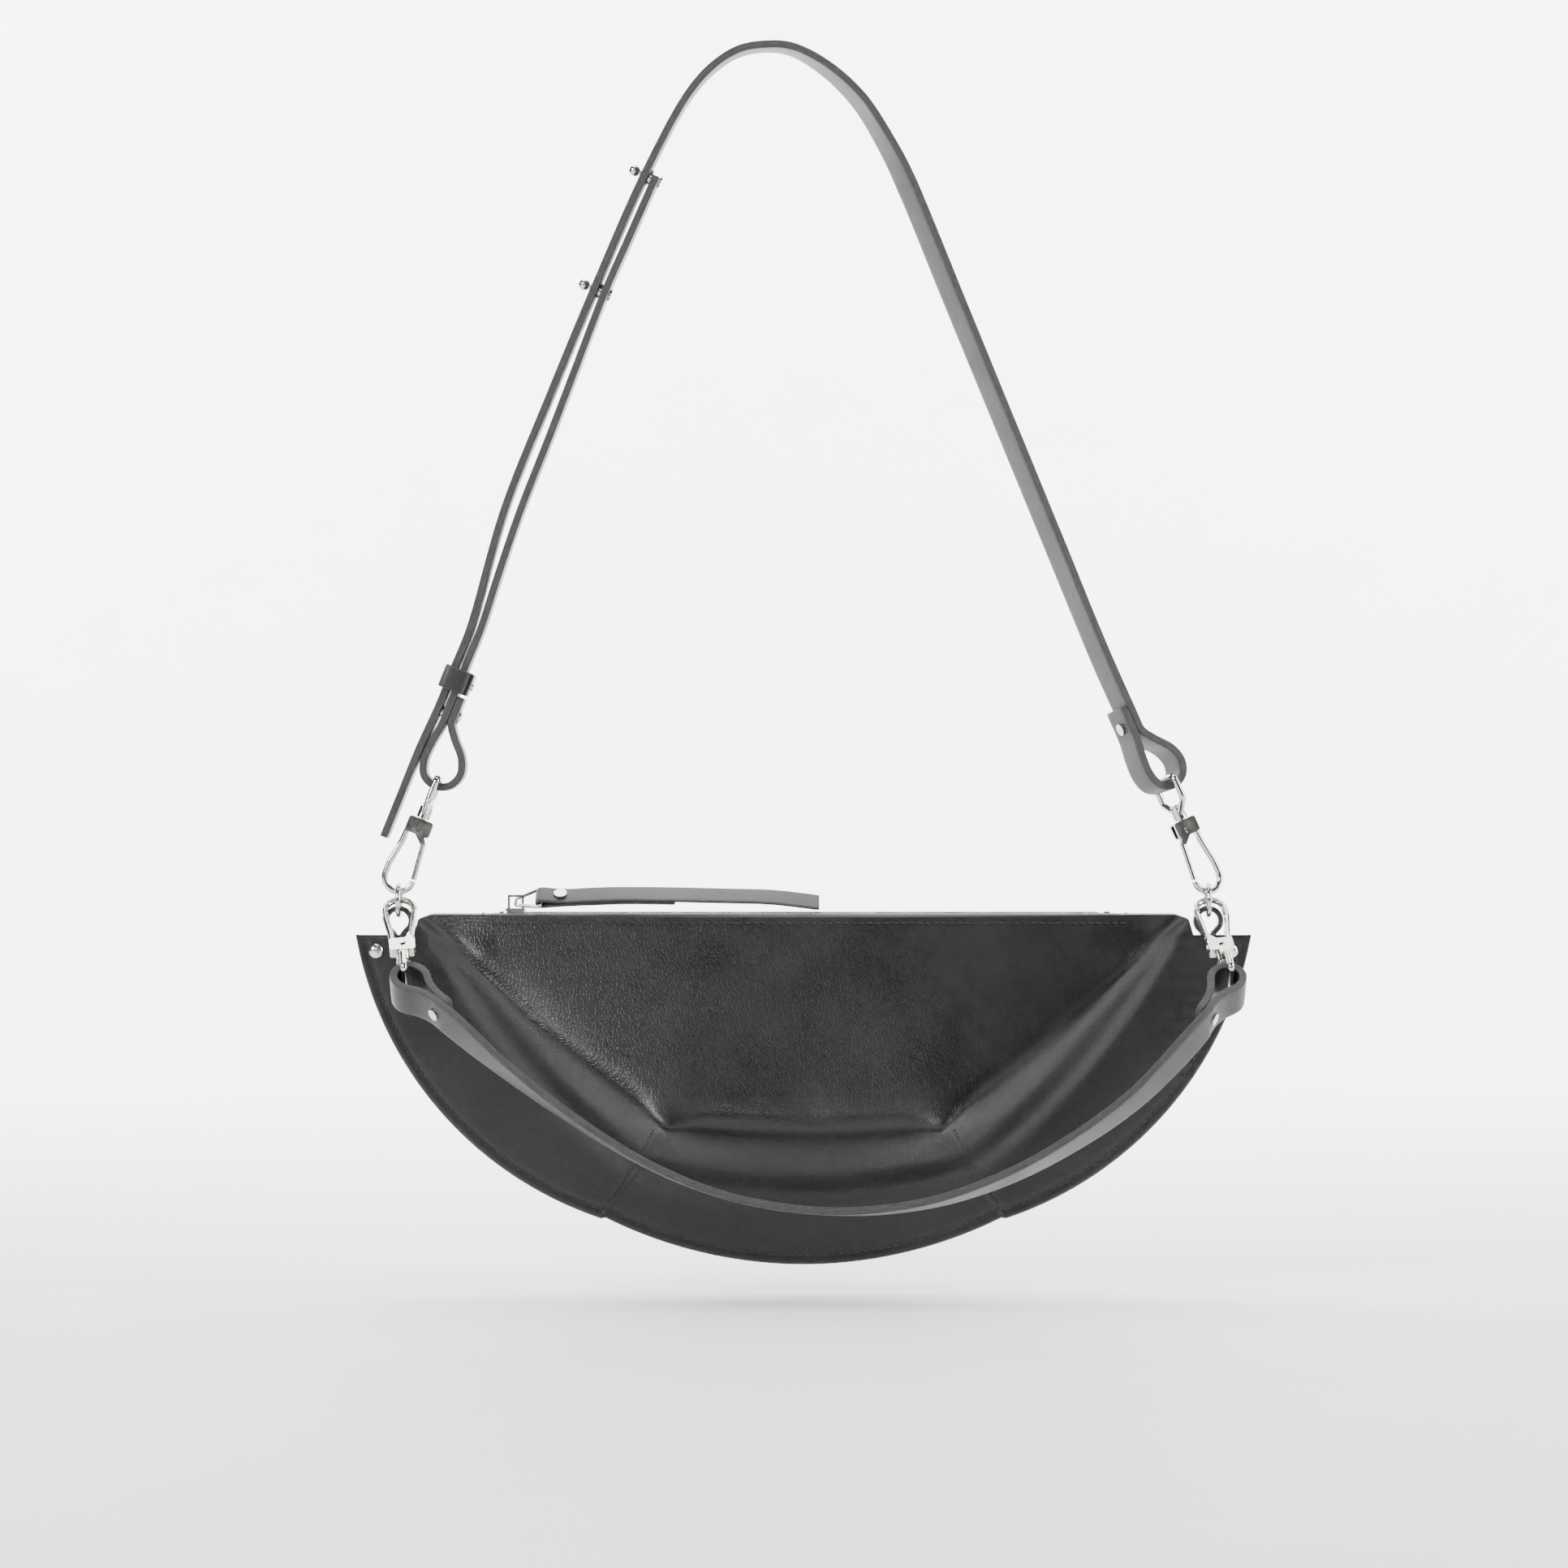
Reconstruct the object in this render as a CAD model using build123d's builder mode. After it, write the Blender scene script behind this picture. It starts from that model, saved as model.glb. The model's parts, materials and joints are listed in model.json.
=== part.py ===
from build123d import *
import math
import os

# Half-moon leather shoulder bag with a zip top, a long adjustable shoulder strap
# and a short handle strap, both clipped to the bag with swivel snap hooks.
# Millimetres. X runs along the bag, -Y is its front, +Z is up. The origin is the
# underside of the shoulder strap at its highest point, where the bag hangs.

# ---- Driving dimensions -------------------------------------------------------
# Bag body
bag_half_width = 193.0      # flange, centre line to side
bag_drop = 366.5            # hang point down to the centres of the two rings
bag_shift = 15.75           # bag centre line, from the hang point
top_below_ring = 6.0        # ring centres down to the top leather
flange_below_top = 9.0      # top leather down to the flange corners
flange_height = 142.0       # flange corners down to the lowest edge
dart_spread = 86.0          # centre line to each dart at the edge
dart_rise = 20.5            # lowest edge up to each dart at the edge
flange_bulge = 22.3         # how far each side of the outline stands past its chord
bag_half_depth = 45.0       # seam plane out to the fullest line
leather = 2.0               # wall of the body
seam_half_top = 7.0         # half of the flat strip that holds the zip
mouth_inside_ring = 9.5     # ring centres in to the ends of the moulded body
crease_rise = 28.0          # lowest edge up to the foot of the moulded body
ridge_half_top = 62.0       # fullest line of the moulded body, at its upper edge
ridge_half_low = 57.0       # and at the darts
ridge_drop = 83.0           # top leather down to the fullest line
# Zip
slot_half_length = 133.0
slot_half_width = 3.5
tape_thickness = 0.5
tape_half_width = 4.9
teeth_pitch = 2.07
tooth_length = 0.95
teeth_half_width = 2.2
teeth_height = 2.2
slider_length = 9.0
# Straps and rings
strap_width = 15.0
strap_thickness = 3.2
ring_wire = 2.2
ring_room = 3.9             # what a ring's radius adds to the hooks' wire
ring_half_span = 174.45     # bag centre line to each ring
arch_half_width = 52.0      # hang point to where each leg of the strap runs straight
left_lean = 22.0            # degrees each upper hook leans towards the middle
right_lean = 24.0
right_twist = 24.0          # degrees the right leg is twisted about itself
handle_sag = 129.5          # ring centres down to the lowest point of the handle
# Snap hooks
hook_wire = 2.8
ring_radius = ring_room + hook_wire     # to the middle of the ring's wire
hook_bend = 6.2             # bend radius to the middle of the wire
hook_to_bar = 45.9          # bend centre to the middle of the strap bar
eye_wire = 3.0
bar_half_length = 9.5
# Clearances
clearance = 0.3             # between pieces that move past each other
hole_clearance = 0.1        # round fixed rivets and screws
layer_gap = 0.2             # between riveted strap layers
hook_in_ring = ring_radius - 3.0        # ring centre up to the upper hook's wire
handle_axis_rise = 0.1      # ring centre up to the lower hook's wire

# ---- Places worked out from the sizes above ------------------------------------
ring_z = -bag_drop
top_z = ring_z - top_below_ring
corner_z = top_z - flange_below_top
bottom_z = corner_z - flange_height
left_ring = Vector(bag_shift - ring_half_span, 0, ring_z)
right_ring = Vector(bag_shift + ring_half_span, 0, ring_z)

os.makedirs("parts", exist_ok=True)


def save(piece, name):
    """Label a finished piece and write it to its own file."""
    piece.label = name
    export_step(piece, f"parts/{name}.step")


def bag_plane(y=0.0):
    """Plane across the bag at the given y, with +Z up in it and -Y as its normal."""
    return Plane(origin=(bag_shift, y, 0), x_dir=(1, 0, 0), z_dir=(0, -1, 0))


def dome(radius, base, height):
    """Arc of a round cap, from its rim to its top on the axis."""
    sphere = (radius ** 2 + height ** 2) / (2 * height)
    half_angle = math.asin(radius / sphere) / 2
    centre = base + height - sphere
    ThreePointArc((radius, base),
                  (sphere * math.sin(half_angle), centre + sphere * math.cos(half_angle)),
                  (0, base + height))


# ---- Bag body -------------------------------------------------------------------
def half_moon(half_top, top, dart_x, dart_z, bottom, bulge):
    """Closed outline: straight top, an arc down each side and one along the bottom."""
    side = Vector(dart_x - half_top, dart_z - top)
    out = Vector(-side.Y, side.X).normalized() * bulge
    middle = Vector(half_top + side.X / 2, top + side.Y / 2) + out
    Line((-half_top, top), (half_top, top))
    ThreePointArc((half_top, top), (middle.X, middle.Y), (dart_x, dart_z))
    ThreePointArc((dart_x, dart_z), (0, bottom), (-dart_x, dart_z))
    ThreePointArc((-dart_x, dart_z), (-middle.X, middle.Y), (-half_top, top))


def moulded_half(inset):
    """One moulded half of the body, from the seam plane out to its fullest line.

    The side arcs end at the darts, so their facets meet the middle ones there.
    """
    mouth = ring_half_span - mouth_inside_ring - inset
    crease = bottom_z + crease_rise + inset
    sections = [
        (0.0, mouth, 74.0, crease + 14.0, crease, 8.0),
        (seam_half_top - inset, mouth - 3.0, 72.0, crease + 17.0, crease + 3.0, 8.0),
    ]
    ridge_top = top_z - ridge_drop
    with BuildPart() as half:
        for depth, half_top, dart_x, dart_z, bottom, bulge in sections:
            with BuildSketch(bag_plane(-depth)):
                with BuildLine():
                    half_moon(half_top, top_z - inset, dart_x - inset, dart_z, bottom, bulge)
                make_face()
        with BuildSketch(bag_plane(-bag_half_depth + inset)):
            with BuildLine():
                half_moon(ridge_half_top - inset, ridge_top - inset, ridge_half_low - inset,
                          ridge_top - 9.0 + inset, ridge_top - 11.0 + inset, 0.5)
            make_face()
        loft(ruled=True)
    return half.part


tab_inner = 4.3
tab_leather = 2.1
tab_half_width = 3.0
tab_drop = ring_radius + 2.1        # ring centre down to the middle of the leather loop
stem_half_width = 5.0
stem_half_thickness = 0.8
stem_length = 15.0
corner_rivet_drop = 21.8    # ring centre down to the corner rivet
corner_rivet_out = 9.7      # and out towards the flange corner
corner_rivet_hole = 1.5


def corner_rivet_place(ring, turn):
    """Where the rivet through the flange corner beside a ring sits."""
    out = corner_rivet_out if ring.X > bag_shift else -corner_rivet_out
    return Location((ring.X + out, 0, ring.Z - corner_rivet_drop), (turn, 0, 0))


def tab_stem(ring, margin):
    """The flat foot of a ring tab, which is held between the flange leathers."""
    loop_bottom = ring.Z - tab_drop - tab_inner
    with BuildPart() as stem:
        with BuildSketch(Plane.XZ.offset(-stem_half_thickness - margin)):
            with Locations((ring.X, loop_bottom - (tab_leather + stem_length) / 2)):
                Rectangle(2 * (stem_half_width + margin), tab_leather + stem_length + 2 * margin)
        extrude(amount=2 * (stem_half_thickness + margin))
    return stem.part


outer_half = moulded_half(0.0)
inner_half = moulded_half(leather)

with BuildPart() as front_panel:
    with BuildSketch(bag_plane()):
        with BuildLine():
            half_moon(bag_half_width, corner_z, dart_spread, bottom_z + dart_rise, bottom_z,
                      flange_bulge)
        make_face()
    extrude(amount=leather)
    add(outer_half)
    add(inner_half, mode=Mode.SUBTRACT)
    # The open slot for the zip, and the places for the ring tabs and their rivets
    with Locations((bag_shift, 0, top_z)):
        Box(2 * slot_half_length, 2 * slot_half_width, 4 * leather, mode=Mode.SUBTRACT)
    for ring in (left_ring, right_ring):
        add(tab_stem(ring, layer_gap), mode=Mode.SUBTRACT)
        with Locations(corner_rivet_place(ring, 90)):
            Cylinder(corner_rivet_hole, 6 * leather, mode=Mode.SUBTRACT)
save(front_panel.part, "front_panel")

with BuildPart() as back_panel:
    add(mirror(front_panel.part, about=Plane.XZ))
save(back_panel.part, "back_panel")

for side, ring in (("left", left_ring), ("right", right_ring)):
    loop_z = ring.Z - tab_drop
    with BuildPart() as ring_tab:
        with BuildSketch(Plane.XZ.offset(-tab_half_width)):
            with Locations((ring.X, loop_z)):
                Circle(tab_inner + tab_leather)
                Circle(tab_inner, mode=Mode.SUBTRACT)
        extrude(amount=2 * tab_half_width)
        # The loop is thinned to a foot below the top edge of the flange
        with Locations((ring.X, 0, corner_z - tab_leather)):
            Box(4 * tab_inner, 4 * tab_half_width, 2 * tab_leather, mode=Mode.SUBTRACT)
        add(tab_stem(ring, 0))
        with Locations((ring.X, 0, loop_z)):
            Cylinder(tab_inner, 2 * tab_half_width, rotation=(90, 0, 0), mode=Mode.SUBTRACT)
    save(ring_tab.part, f"ring_tab_{side}")

    # Domed rivet through both leathers of the flange corner
    with BuildPart() as corner_rivet:
        with BuildSketch(Plane.XY):
            with BuildLine():
                Polyline((0, -leather - 0.9), (2.6, -leather - 0.9), (2.6, -leather),
                         (corner_rivet_hole - hole_clearance, -leather),
                         (corner_rivet_hole - hole_clearance, leather), (3.0, leather),
                         (3.0, leather + 0.5))
                dome(3.0, leather + 0.5, 1.3)
                Line((0, leather + 1.8), (0, -leather - 0.9))
            make_face()
        revolve(axis=Axis.Y)
    save(corner_rivet.part.moved(corner_rivet_place(ring, 180)), f"corner_rivet_{side}")

# ---- Zip ------------------------------------------------------------------------
tape_top = top_z - leather
teeth_bottom = top_z - 1.0
teeth_top = teeth_bottom + teeth_height
bead_inner = 1.5
bead_width = 0.6
slider_start = bag_shift - slot_half_length + 4.5     # left end of the closed slider
teeth_start = slider_start + 3.2
teeth_end = bag_shift + slot_half_length - 4.0

for side, sign in (("front", -1), ("back", 1)):
    # Tape: a flat strip sewn under the leather, with an upright bead along its edge
    tape_centre = sign * (bead_inner + tape_half_width) / 2
    with BuildPart() as tape:
        with Locations((bag_shift, tape_centre, tape_top - tape_thickness / 2)):
            Box(2 * slot_half_length + 10.0, tape_half_width - bead_inner, tape_thickness)
        with Locations((bag_shift, sign * (bead_inner + bead_width / 2), teeth_bottom)):
            Box(2 * slot_half_length - 1.0, bead_width, teeth_bottom - tape_top + tape_thickness,
                align=(Align.CENTER, Align.CENTER, Align.MAX))
    save(tape.part, f"zip_tape_{side}")

    # Teeth: one comb that reaches past the middle, half a pitch from the other
    phase = 0 if side == "front" else teeth_pitch / 2
    count = int((teeth_end - teeth_start) / teeth_pitch)
    rail = teeth_half_width - bead_inner
    reach = teeth_half_width + 0.9
    with BuildPart() as teeth:
        with BuildSketch(Plane.XY.offset(teeth_bottom)):
            with Locations(((teeth_start + teeth_end) / 2, sign * (bead_inner + rail / 2))):
                Rectangle(teeth_end - teeth_start, rail)
            first_tooth = teeth_start + phase + tooth_length / 2
            with Locations(*[(first_tooth + teeth_pitch * number,
                              sign * (teeth_half_width - reach / 2)) for number in range(count)]):
                Rectangle(tooth_length, reach)
        extrude(amount=teeth_height)
    save(teeth.part, f"zip_teeth_{side}")

top_stop_x = slider_start - 1.5
end_stop_x = teeth_end + 1.6
with BuildPart() as zip_stops:
    with Locations(*[(top_stop_x, side * 1.6, teeth_bottom) for side in (-1, 1)]):
        Box(1.8, 1.6, teeth_height, align=(Align.CENTER, Align.CENTER, Align.MIN))
    with Locations((end_stop_x, 0, teeth_bottom)):
        Box(2.4, 2 * teeth_half_width, teeth_height,
            align=(Align.CENTER, Align.CENTER, Align.MIN))
save(zip_stops.part, "zip_stops")

# Slider: two plates joined by the wedge at its leading end, and a bridge for the pull
plate_thickness = 1.1
slider_half_width = 3.2
rim_wall = 0.7
wedge_length = 2.2
bridge_room = 4.8           # height inside the bridge
bridge_wall = 0.9
bridge_half_length = 3.5
bridge_half_width = 1.1
slider_mid = slider_start + slider_length / 2
top_plate_z = teeth_top + clearance
bridge_z = top_plate_z + plate_thickness
low_plate_top = tape_top - tape_thickness - clearance
rim_y = slider_half_width - rim_wall / 2
with BuildPart() as zip_slider:
    with BuildSketch(Plane.XY.offset(top_plate_z)):
        with Locations((slider_mid, 0)):
            RectangleRounded(slider_length, 2 * slider_half_width, 1.4)
    extrude(amount=plate_thickness)
    with Locations((slider_mid, 0, low_plate_top)):
        Box(slider_length - 1.0, 2 * slider_half_width - 0.4, plate_thickness,
            align=(Align.CENTER, Align.CENTER, Align.MAX))
    # Rims that wrap the teeth, stopping short of the tape
    with Locations(*[(slider_mid, side * rim_y, tape_top + clearance) for side in (-1, 1)]):
        Box(slider_length - 2.0, rim_wall, teeth_top - tape_top + plate_thickness / 2,
            align=(Align.CENTER, Align.CENTER, Align.MIN))
    # Wedge between the two rows of teeth
    with Locations((slider_start + 1.6, 0, low_plate_top - plate_thickness / 2)):
        Box(wedge_length, 2 * (bead_inner - clearance), teeth_top - low_plate_top + 1.2,
            align=(Align.CENTER, Align.CENTER, Align.MIN))
    with BuildSketch(Plane.XZ.offset(-bridge_half_width)):
        with Locations((slider_mid, bridge_z + (bridge_room + bridge_wall) / 2)):
            Rectangle(2 * bridge_half_length, bridge_room + bridge_wall)
        with Locations((slider_mid, bridge_z + bridge_room / 2)):
            Rectangle(2 * (bridge_half_length - 1.0), bridge_room, mode=Mode.SUBTRACT)
    extrude(amount=2 * bridge_half_width)
save(zip_slider.part, "zip_slider")

# Pull ring: a wire frame hanging in the bridge, and the long folded leather pull on it
pull_wire = 1.5
pull_axis_x = slider_mid
pull_axis_z = bridge_z + bridge_room / 2 + 0.2
pull_tilt = 34.0
pull_length = 120.0
pull_width = 10.0
pull_layer = 1.2
ring_reach = 11.0
with BuildPart() as pull_ring:
    with BuildLine(Plane.XY) as frame_path:
        FilletPolyline((0, -2.2), (ring_reach, -6.9), (ring_reach, 6.9), (0, 2.2), radius=1.0,
                       close=True)
    with BuildSketch(Plane(origin=frame_path.line @ 0, z_dir=frame_path.line % 0)):
        Circle(pull_wire / 2)
    sweep(transition=Transition.ROUND)
pull_rise = 12.0            # degrees the frame stands up from the zip
frame_place = Location((pull_axis_x, 0, pull_axis_z), (pull_tilt, -pull_rise, 0))
save(pull_ring.part.moved(frame_place), "pull_ring")

# Strip profile in its own plane: x along the bag, y across the layers
fold_centre = (frame_place * Location((ring_reach, 0, 0))).position
pull_plane = Plane(origin=fold_centre, x_dir=(1, 0, 0),
                   z_dir=(0, -math.cos(math.radians(pull_tilt)), -math.sin(math.radians(pull_tilt))))
fold_inner = pull_wire / 2 + 0.25
with BuildPart() as pull_strip:
    with BuildSketch(pull_plane.offset(-pull_width / 2)):
        with BuildLine():
            Spline((0, fold_inner + pull_layer), (6, 1.65), (12, 1.35), (34, 2.4), (78, 1.6),
                   (pull_length, -2.0))
            Line((pull_length, -2.0), (pull_length, -2.0 - pull_layer))
            Spline((pull_length, -2.0 - pull_layer), (78, 1.6 - pull_layer), (34, 2.4 - pull_layer),
                   (12, 0.15))
            Spline((12, 0.15), (6, 0.45), (0, fold_inner))
            ThreePointArc((0, fold_inner), (-fold_inner, 0), (0, -fold_inner))
            Spline((0, -fold_inner), (6, -0.5), (12, -0.05))
            Spline((12, -0.05), (34, 0.95), (58, 0.75))
            Line((58, 0.75), (58, 0.75 - pull_layer))
            Spline((58, 0.75 - pull_layer), (34, 0.95 - pull_layer), (12, -0.05 - pull_layer),
                   (6, -0.5 - pull_layer), (0, -fold_inner - pull_layer))
            ThreePointArc((0, -fold_inner - pull_layer), (-fold_inner - pull_layer, 0),
                          (0, fold_inner + pull_layer))
        make_face()
    extrude(amount=pull_width)
    with BuildSketch(Plane(origin=pull_plane.from_local_coords((8.5, 4, 0)),
                           z_dir=-pull_plane.y_dir)):
        Circle(1.1)
    extrude(amount=8, mode=Mode.SUBTRACT)
save(pull_strip.part, "pull_strip")

with BuildPart() as pull_rivet:
    with BuildSketch(Plane(origin=pull_plane.from_local_coords((8.5, 1.8, 0)),
                           z_dir=-pull_plane.y_dir)):
        Circle(2.8)
    extrude(amount=-0.9)
    with BuildSketch(Plane(origin=pull_plane.from_local_coords((8.5, 1.8, 0)),
                           z_dir=-pull_plane.y_dir)):
        Circle(1.0)
    extrude(amount=3.7)
    with BuildSketch(Plane(origin=pull_plane.from_local_coords((8.5, -1.9, 0)),
                           z_dir=-pull_plane.y_dir)):
        Circle(2.6)
    extrude(amount=0.8)
save(pull_rivet.part, "pull_rivet")

# ---- Rings ----------------------------------------------------------------------
for side, ring in (("left", left_ring), ("right", right_ring)):
    with BuildPart() as jump_ring:
        with BuildSketch(Plane.XY):
            with Locations((0, ring_radius)):
                Circle(ring_wire / 2)
        revolve(axis=Axis.X)
    save(jump_ring.part.moved(Location(ring)), f"ring_{side}")

# ---- Swivel snap hooks ----------------------------------------------------------
# Each hook is made with its bend centre at the origin, its shank along +Z and its
# gate on the +X side, and is then put in place by its own plane.
plate_low_z, plate_high_z = 20.0, 27.0
plate_half_width = 5.5
pin_z = 22.4
boss_low, boss_high = 27.4, 32.6
post_radius = 1.5
gate_gap = 1.3              # half of the slot in the hook's plate

with BuildPart() as hook_shape:
    with BuildLine(Plane.XZ) as hook_path:
        Polyline((-plate_half_width + 1.3, plate_low_z + 1.5), (-plate_half_width + 0.9, 15),
                 (-hook_bend, 5))
        Line((-hook_bend, 5), (-hook_bend, 0))
        ThreePointArc((-hook_bend, 0), (0, -hook_bend), (hook_bend, 0))
        Line((hook_bend, 0), (hook_bend, 0.6))
    with BuildSketch(Plane(origin=hook_path.line @ 0, z_dir=hook_path.line % 0)):
        Circle(hook_wire / 2)
    sweep(transition=Transition.ROUND)
    with BuildSketch(Plane.XZ.offset(-2.4)):
        with Locations((0, (plate_low_z + plate_high_z) / 2)):
            RectangleRounded(2 * plate_half_width, plate_high_z - plate_low_z, 1.2)
    extrude(amount=4.8)
    # Slot for the gate's lug, open downwards and on the gate's side
    with Locations((1.2, 0, plate_low_z + 1.9)):
        Box(9.0, 2 * gate_gap, 8.4, mode=Mode.SUBTRACT)
    with BuildSketch(Plane.XY.offset(plate_high_z - 0.5)):
        Circle(post_radius)
    extrude(amount=boss_high + 0.4 - plate_high_z + 0.5)
    with BuildSketch(Plane.XY.offset(boss_high + 0.4)):
        Circle(2.4)
    extrude(amount=1.1)
    with Locations((0, 0, pin_z)):
        Cylinder(1.0, 8, rotation=(90, 0, 0), mode=Mode.SUBTRACT)

gate_tip = Vector(hook_bend, 0, 1.3)
gate_start = Vector(4.4, 0, 17.2)
with BuildPart() as gate_shape:
    with BuildSketch(Plane.XZ.offset(-gate_gap + clearance)):
        with Locations((0, pin_z)):
            Circle(2.2)
        with BuildLine():
            Polyline((-1.0, pin_z - 2.0), (1.4, pin_z + 1.6), (5.5, 17.0), (3.2, 16.6), close=True)
        make_face()
    extrude(amount=2 * (gate_gap - clearance))
    with BuildSketch(Plane(origin=gate_start, z_dir=gate_tip - gate_start)):
        Circle(1.2)
    extrude(amount=(gate_tip - gate_start).length)
    with Locations((0, 0, pin_z)):
        Cylinder(1.0, 8, rotation=(90, 0, 0), mode=Mode.SUBTRACT)
    # Room for the coil of the gate's spring round the pin
    with Locations((0, 0, pin_z)):
        Cylinder(1.7, 1.0, rotation=(90, 0, 0), mode=Mode.SUBTRACT)

with BuildPart() as pin_shape:
    with Locations((0, 0, pin_z)):
        Cylinder(0.9, 5.6, rotation=(90, 0, 0))
    with Locations((0, -2.4 - 0.4, pin_z), (0, 2.4 + 0.4, pin_z)):
        Cylinder(1.5, 0.7, rotation=(90, 0, 0))

with BuildPart() as spring_shape:
    with Locations((0, 0, pin_z)):
        Cylinder(1.5, 0.7, rotation=(90, 0, 0))
        Cylinder(1.1, 0.7, rotation=(90, 0, 0), mode=Mode.SUBTRACT)

with BuildPart() as eye_shape:
    with BuildSketch(Plane.XY.offset(boss_low)):
        Circle(3.0)
    extrude(amount=boss_high - boss_low)
    with BuildLine(Plane.YZ) as eye_path:
        FilletPolyline((2.2, boss_high - 2.2), (bar_half_length, boss_high + 3.5),
                       (bar_half_length, hook_to_bar), (-bar_half_length, hook_to_bar),
                       (-bar_half_length, boss_high + 3.5), (-2.2, boss_high - 2.2), radius=1.8)
    with BuildSketch(Plane(origin=eye_path.line @ 0, z_dir=eye_path.line % 0)):
        Circle(eye_wire / 2)
    sweep(transition=Transition.ROUND)
    with Locations((0, 0, (boss_low + boss_high) / 2)):
        Cylinder(post_radius + clearance, 2 * (boss_high - boss_low), mode=Mode.SUBTRACT)

hook_pieces = (("hook", hook_shape), ("gate", gate_shape), ("gate_pin", pin_shape),
               ("gate_spring", spring_shape), ("eye", eye_shape))


def upper_hook_plane(ring, lean, twist, gate_side):
    """Plane of an upper hook, whose bend carries the top of its ring from inside."""
    lean, twist = math.radians(lean), math.radians(twist)
    shank = Vector(math.sin(lean), 0, math.cos(lean))
    across = Vector(math.cos(lean), 0, -math.sin(lean)) * math.cos(twist)
    across += Vector(0, math.sin(twist), 0)
    down = across * -across.Z + shank * -shank.Z
    bend = ring + Vector(0, 0, hook_in_ring) - down.normalized() * hook_bend
    return Plane(origin=bend, x_dir=across * gate_side, z_dir=shank)


def lower_hook_plane(ring, gate_side):
    """Plane of a lower hook, which leans forward and a little along the bag."""
    shank = Vector(0.11, -0.743, -0.66).normalized()
    across = (Vector(1, 0, 0) - shank * shank.X).normalized()
    bend = ring + Vector(0, 0, handle_axis_rise) + shank * hook_bend
    return Plane(origin=bend, x_dir=across * gate_side, z_dir=shank)


hook_planes = {
    "upper_left": upper_hook_plane(left_ring, left_lean, 0, 1),
    "upper_right": upper_hook_plane(right_ring, -right_lean, right_twist, -1),
    "lower_left": lower_hook_plane(left_ring, 1),
    "lower_right": lower_hook_plane(right_ring, -1),
}
for place, plane in hook_planes.items():
    for kind, shape in hook_pieces:
        save(shape.part.moved(plane.location), f"{kind}_{place}")


# ---- Straps ---------------------------------------------------------------------
def band(points, widths):
    """Flat strap lofted along a smooth path, with its width direction at each point."""
    with BuildLine() as line:
        Spline(*points)
    path = line.edges()[0]
    stations = [path.param_at_point(point) for point in points]
    frames = []
    for number, place in enumerate(stations):
        frames.append((place, widths[number]))
        if number + 1 < len(stations):
            middle = (place + stations[number + 1]) / 2
            frames.append((middle, (widths[number] + widths[number + 1]) * 0.5))
    with BuildPart() as strap:
        for place, width in frames:
            along = path % place
            flat = width - along * width.dot(along)
            with BuildSketch(Plane(origin=path @ place, x_dir=flat, z_dir=along)):
                Rectangle(strap_width, strap_thickness)
        loft(ruled=True)
    return strap.part


def turned(points, angles):
    """Width directions of a strap that starts level across the bag and is then turned."""
    widths = []
    for number, angle in enumerate(angles):
        before = points[max(number - 1, 0)]
        after = points[min(number + 1, len(points) - 1)]
        normal = (after - before).normalized().cross(Vector(0, 1, 0))
        angle = math.radians(angle)
        widths.append(Vector(0, math.cos(angle), 0) - normal * math.sin(angle))
    return widths


layer = strap_thickness + layer_gap
loop_radius = 8.4           # end loops of the long strap, to the middle of the leather
near_layer = -3.6           # strap layers beside each loop's centre line
far_layer = near_layer - layer
lap_end = 31.0              # loop centre up to the cut end of the lap
bar_drop = loop_radius - strap_thickness / 2 - clearance - eye_wire / 2
diagonal = loop_radius * math.sqrt(0.5)
loop_route = [
    (near_layer, lap_end), (near_layer, 24.5), (near_layer + 0.2, 19.0), (0.6, 13.2), (6.2, 6.8),
    (loop_radius, 0), (diagonal, -diagonal), (0, -loop_radius), (-diagonal, -diagonal),
    (-loop_radius, 0), (-loop_radius + 0.1, 8.0), (far_layer - 0.2, 16.0),
    (far_layer, 20.5), (far_layer, 25.5), (far_layer, lap_end),
]


def loop_frame(plane):
    """Centre and directions of the strap loop that rests on an upper hook's bar."""
    bar = plane.origin + plane.z_dir * hook_to_bar
    across = plane.x_dir if plane.x_dir.X > 0 else plane.x_dir * -1
    return bar + plane.z_dir * bar_drop, across, plane.z_dir


left_centre, left_across, left_up = loop_frame(hook_planes["upper_left"])
right_centre, right_across, right_up = loop_frame(hook_planes["upper_right"])
right_width = right_up.cross(right_across)


def left_place(across, up):
    return left_centre + left_across * across + left_up * up


def right_place(across, up):
    return right_centre + right_across * across + right_up * up


# Main strap: hanging tail, left leg, arch, right leg and right loop
tail_layer = far_layer - layer - 1.8
keeper_layer = far_layer - layer - 0.9
left_foot = left_place(keeper_layer, 60)
left_shoulder = Vector(-arch_half_width, 0, -53.0)
leg = left_shoulder - left_foot
leg_out = Vector(-leg.Z, 0, leg.X).normalized()
arch = [Vector(x, 0, strap_thickness / 2 + z) for x, z in (
    (-33.3, -20.4), (-22.4, -8.4), (-11.6, -1.9), (0, 0), (10.6, -1.2), (24.5, -8.8),
    (39.6, -23.0), (53.0, -44.5))]
left_run = [
    left_place(tail_layer, -37), left_place(tail_layer, -16), left_place(tail_layer, 4),
    left_place(keeper_layer, 24), left_place(keeper_layer, 42), left_foot,
    left_foot + leg * 0.25 + leg_out * 4.6, left_foot + leg * 0.5 + leg_out * 4.0,
    left_foot + leg * 0.75 + leg_out * 2.6, left_shoulder,
]
right_shoulder = Vector(arch_half_width + 7.9, 0, -57.0)
right_foot = right_place(near_layer, 55)
right_run = [right_shoulder + (right_foot - right_shoulder) * share
             for share in (0, 0.25, 0.5, 0.75, 1)]
right_loop = [right_place(*place) for place in loop_route]
main_points = left_run + arch + right_run + right_loop
untwisted = len(left_run) + 4
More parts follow.
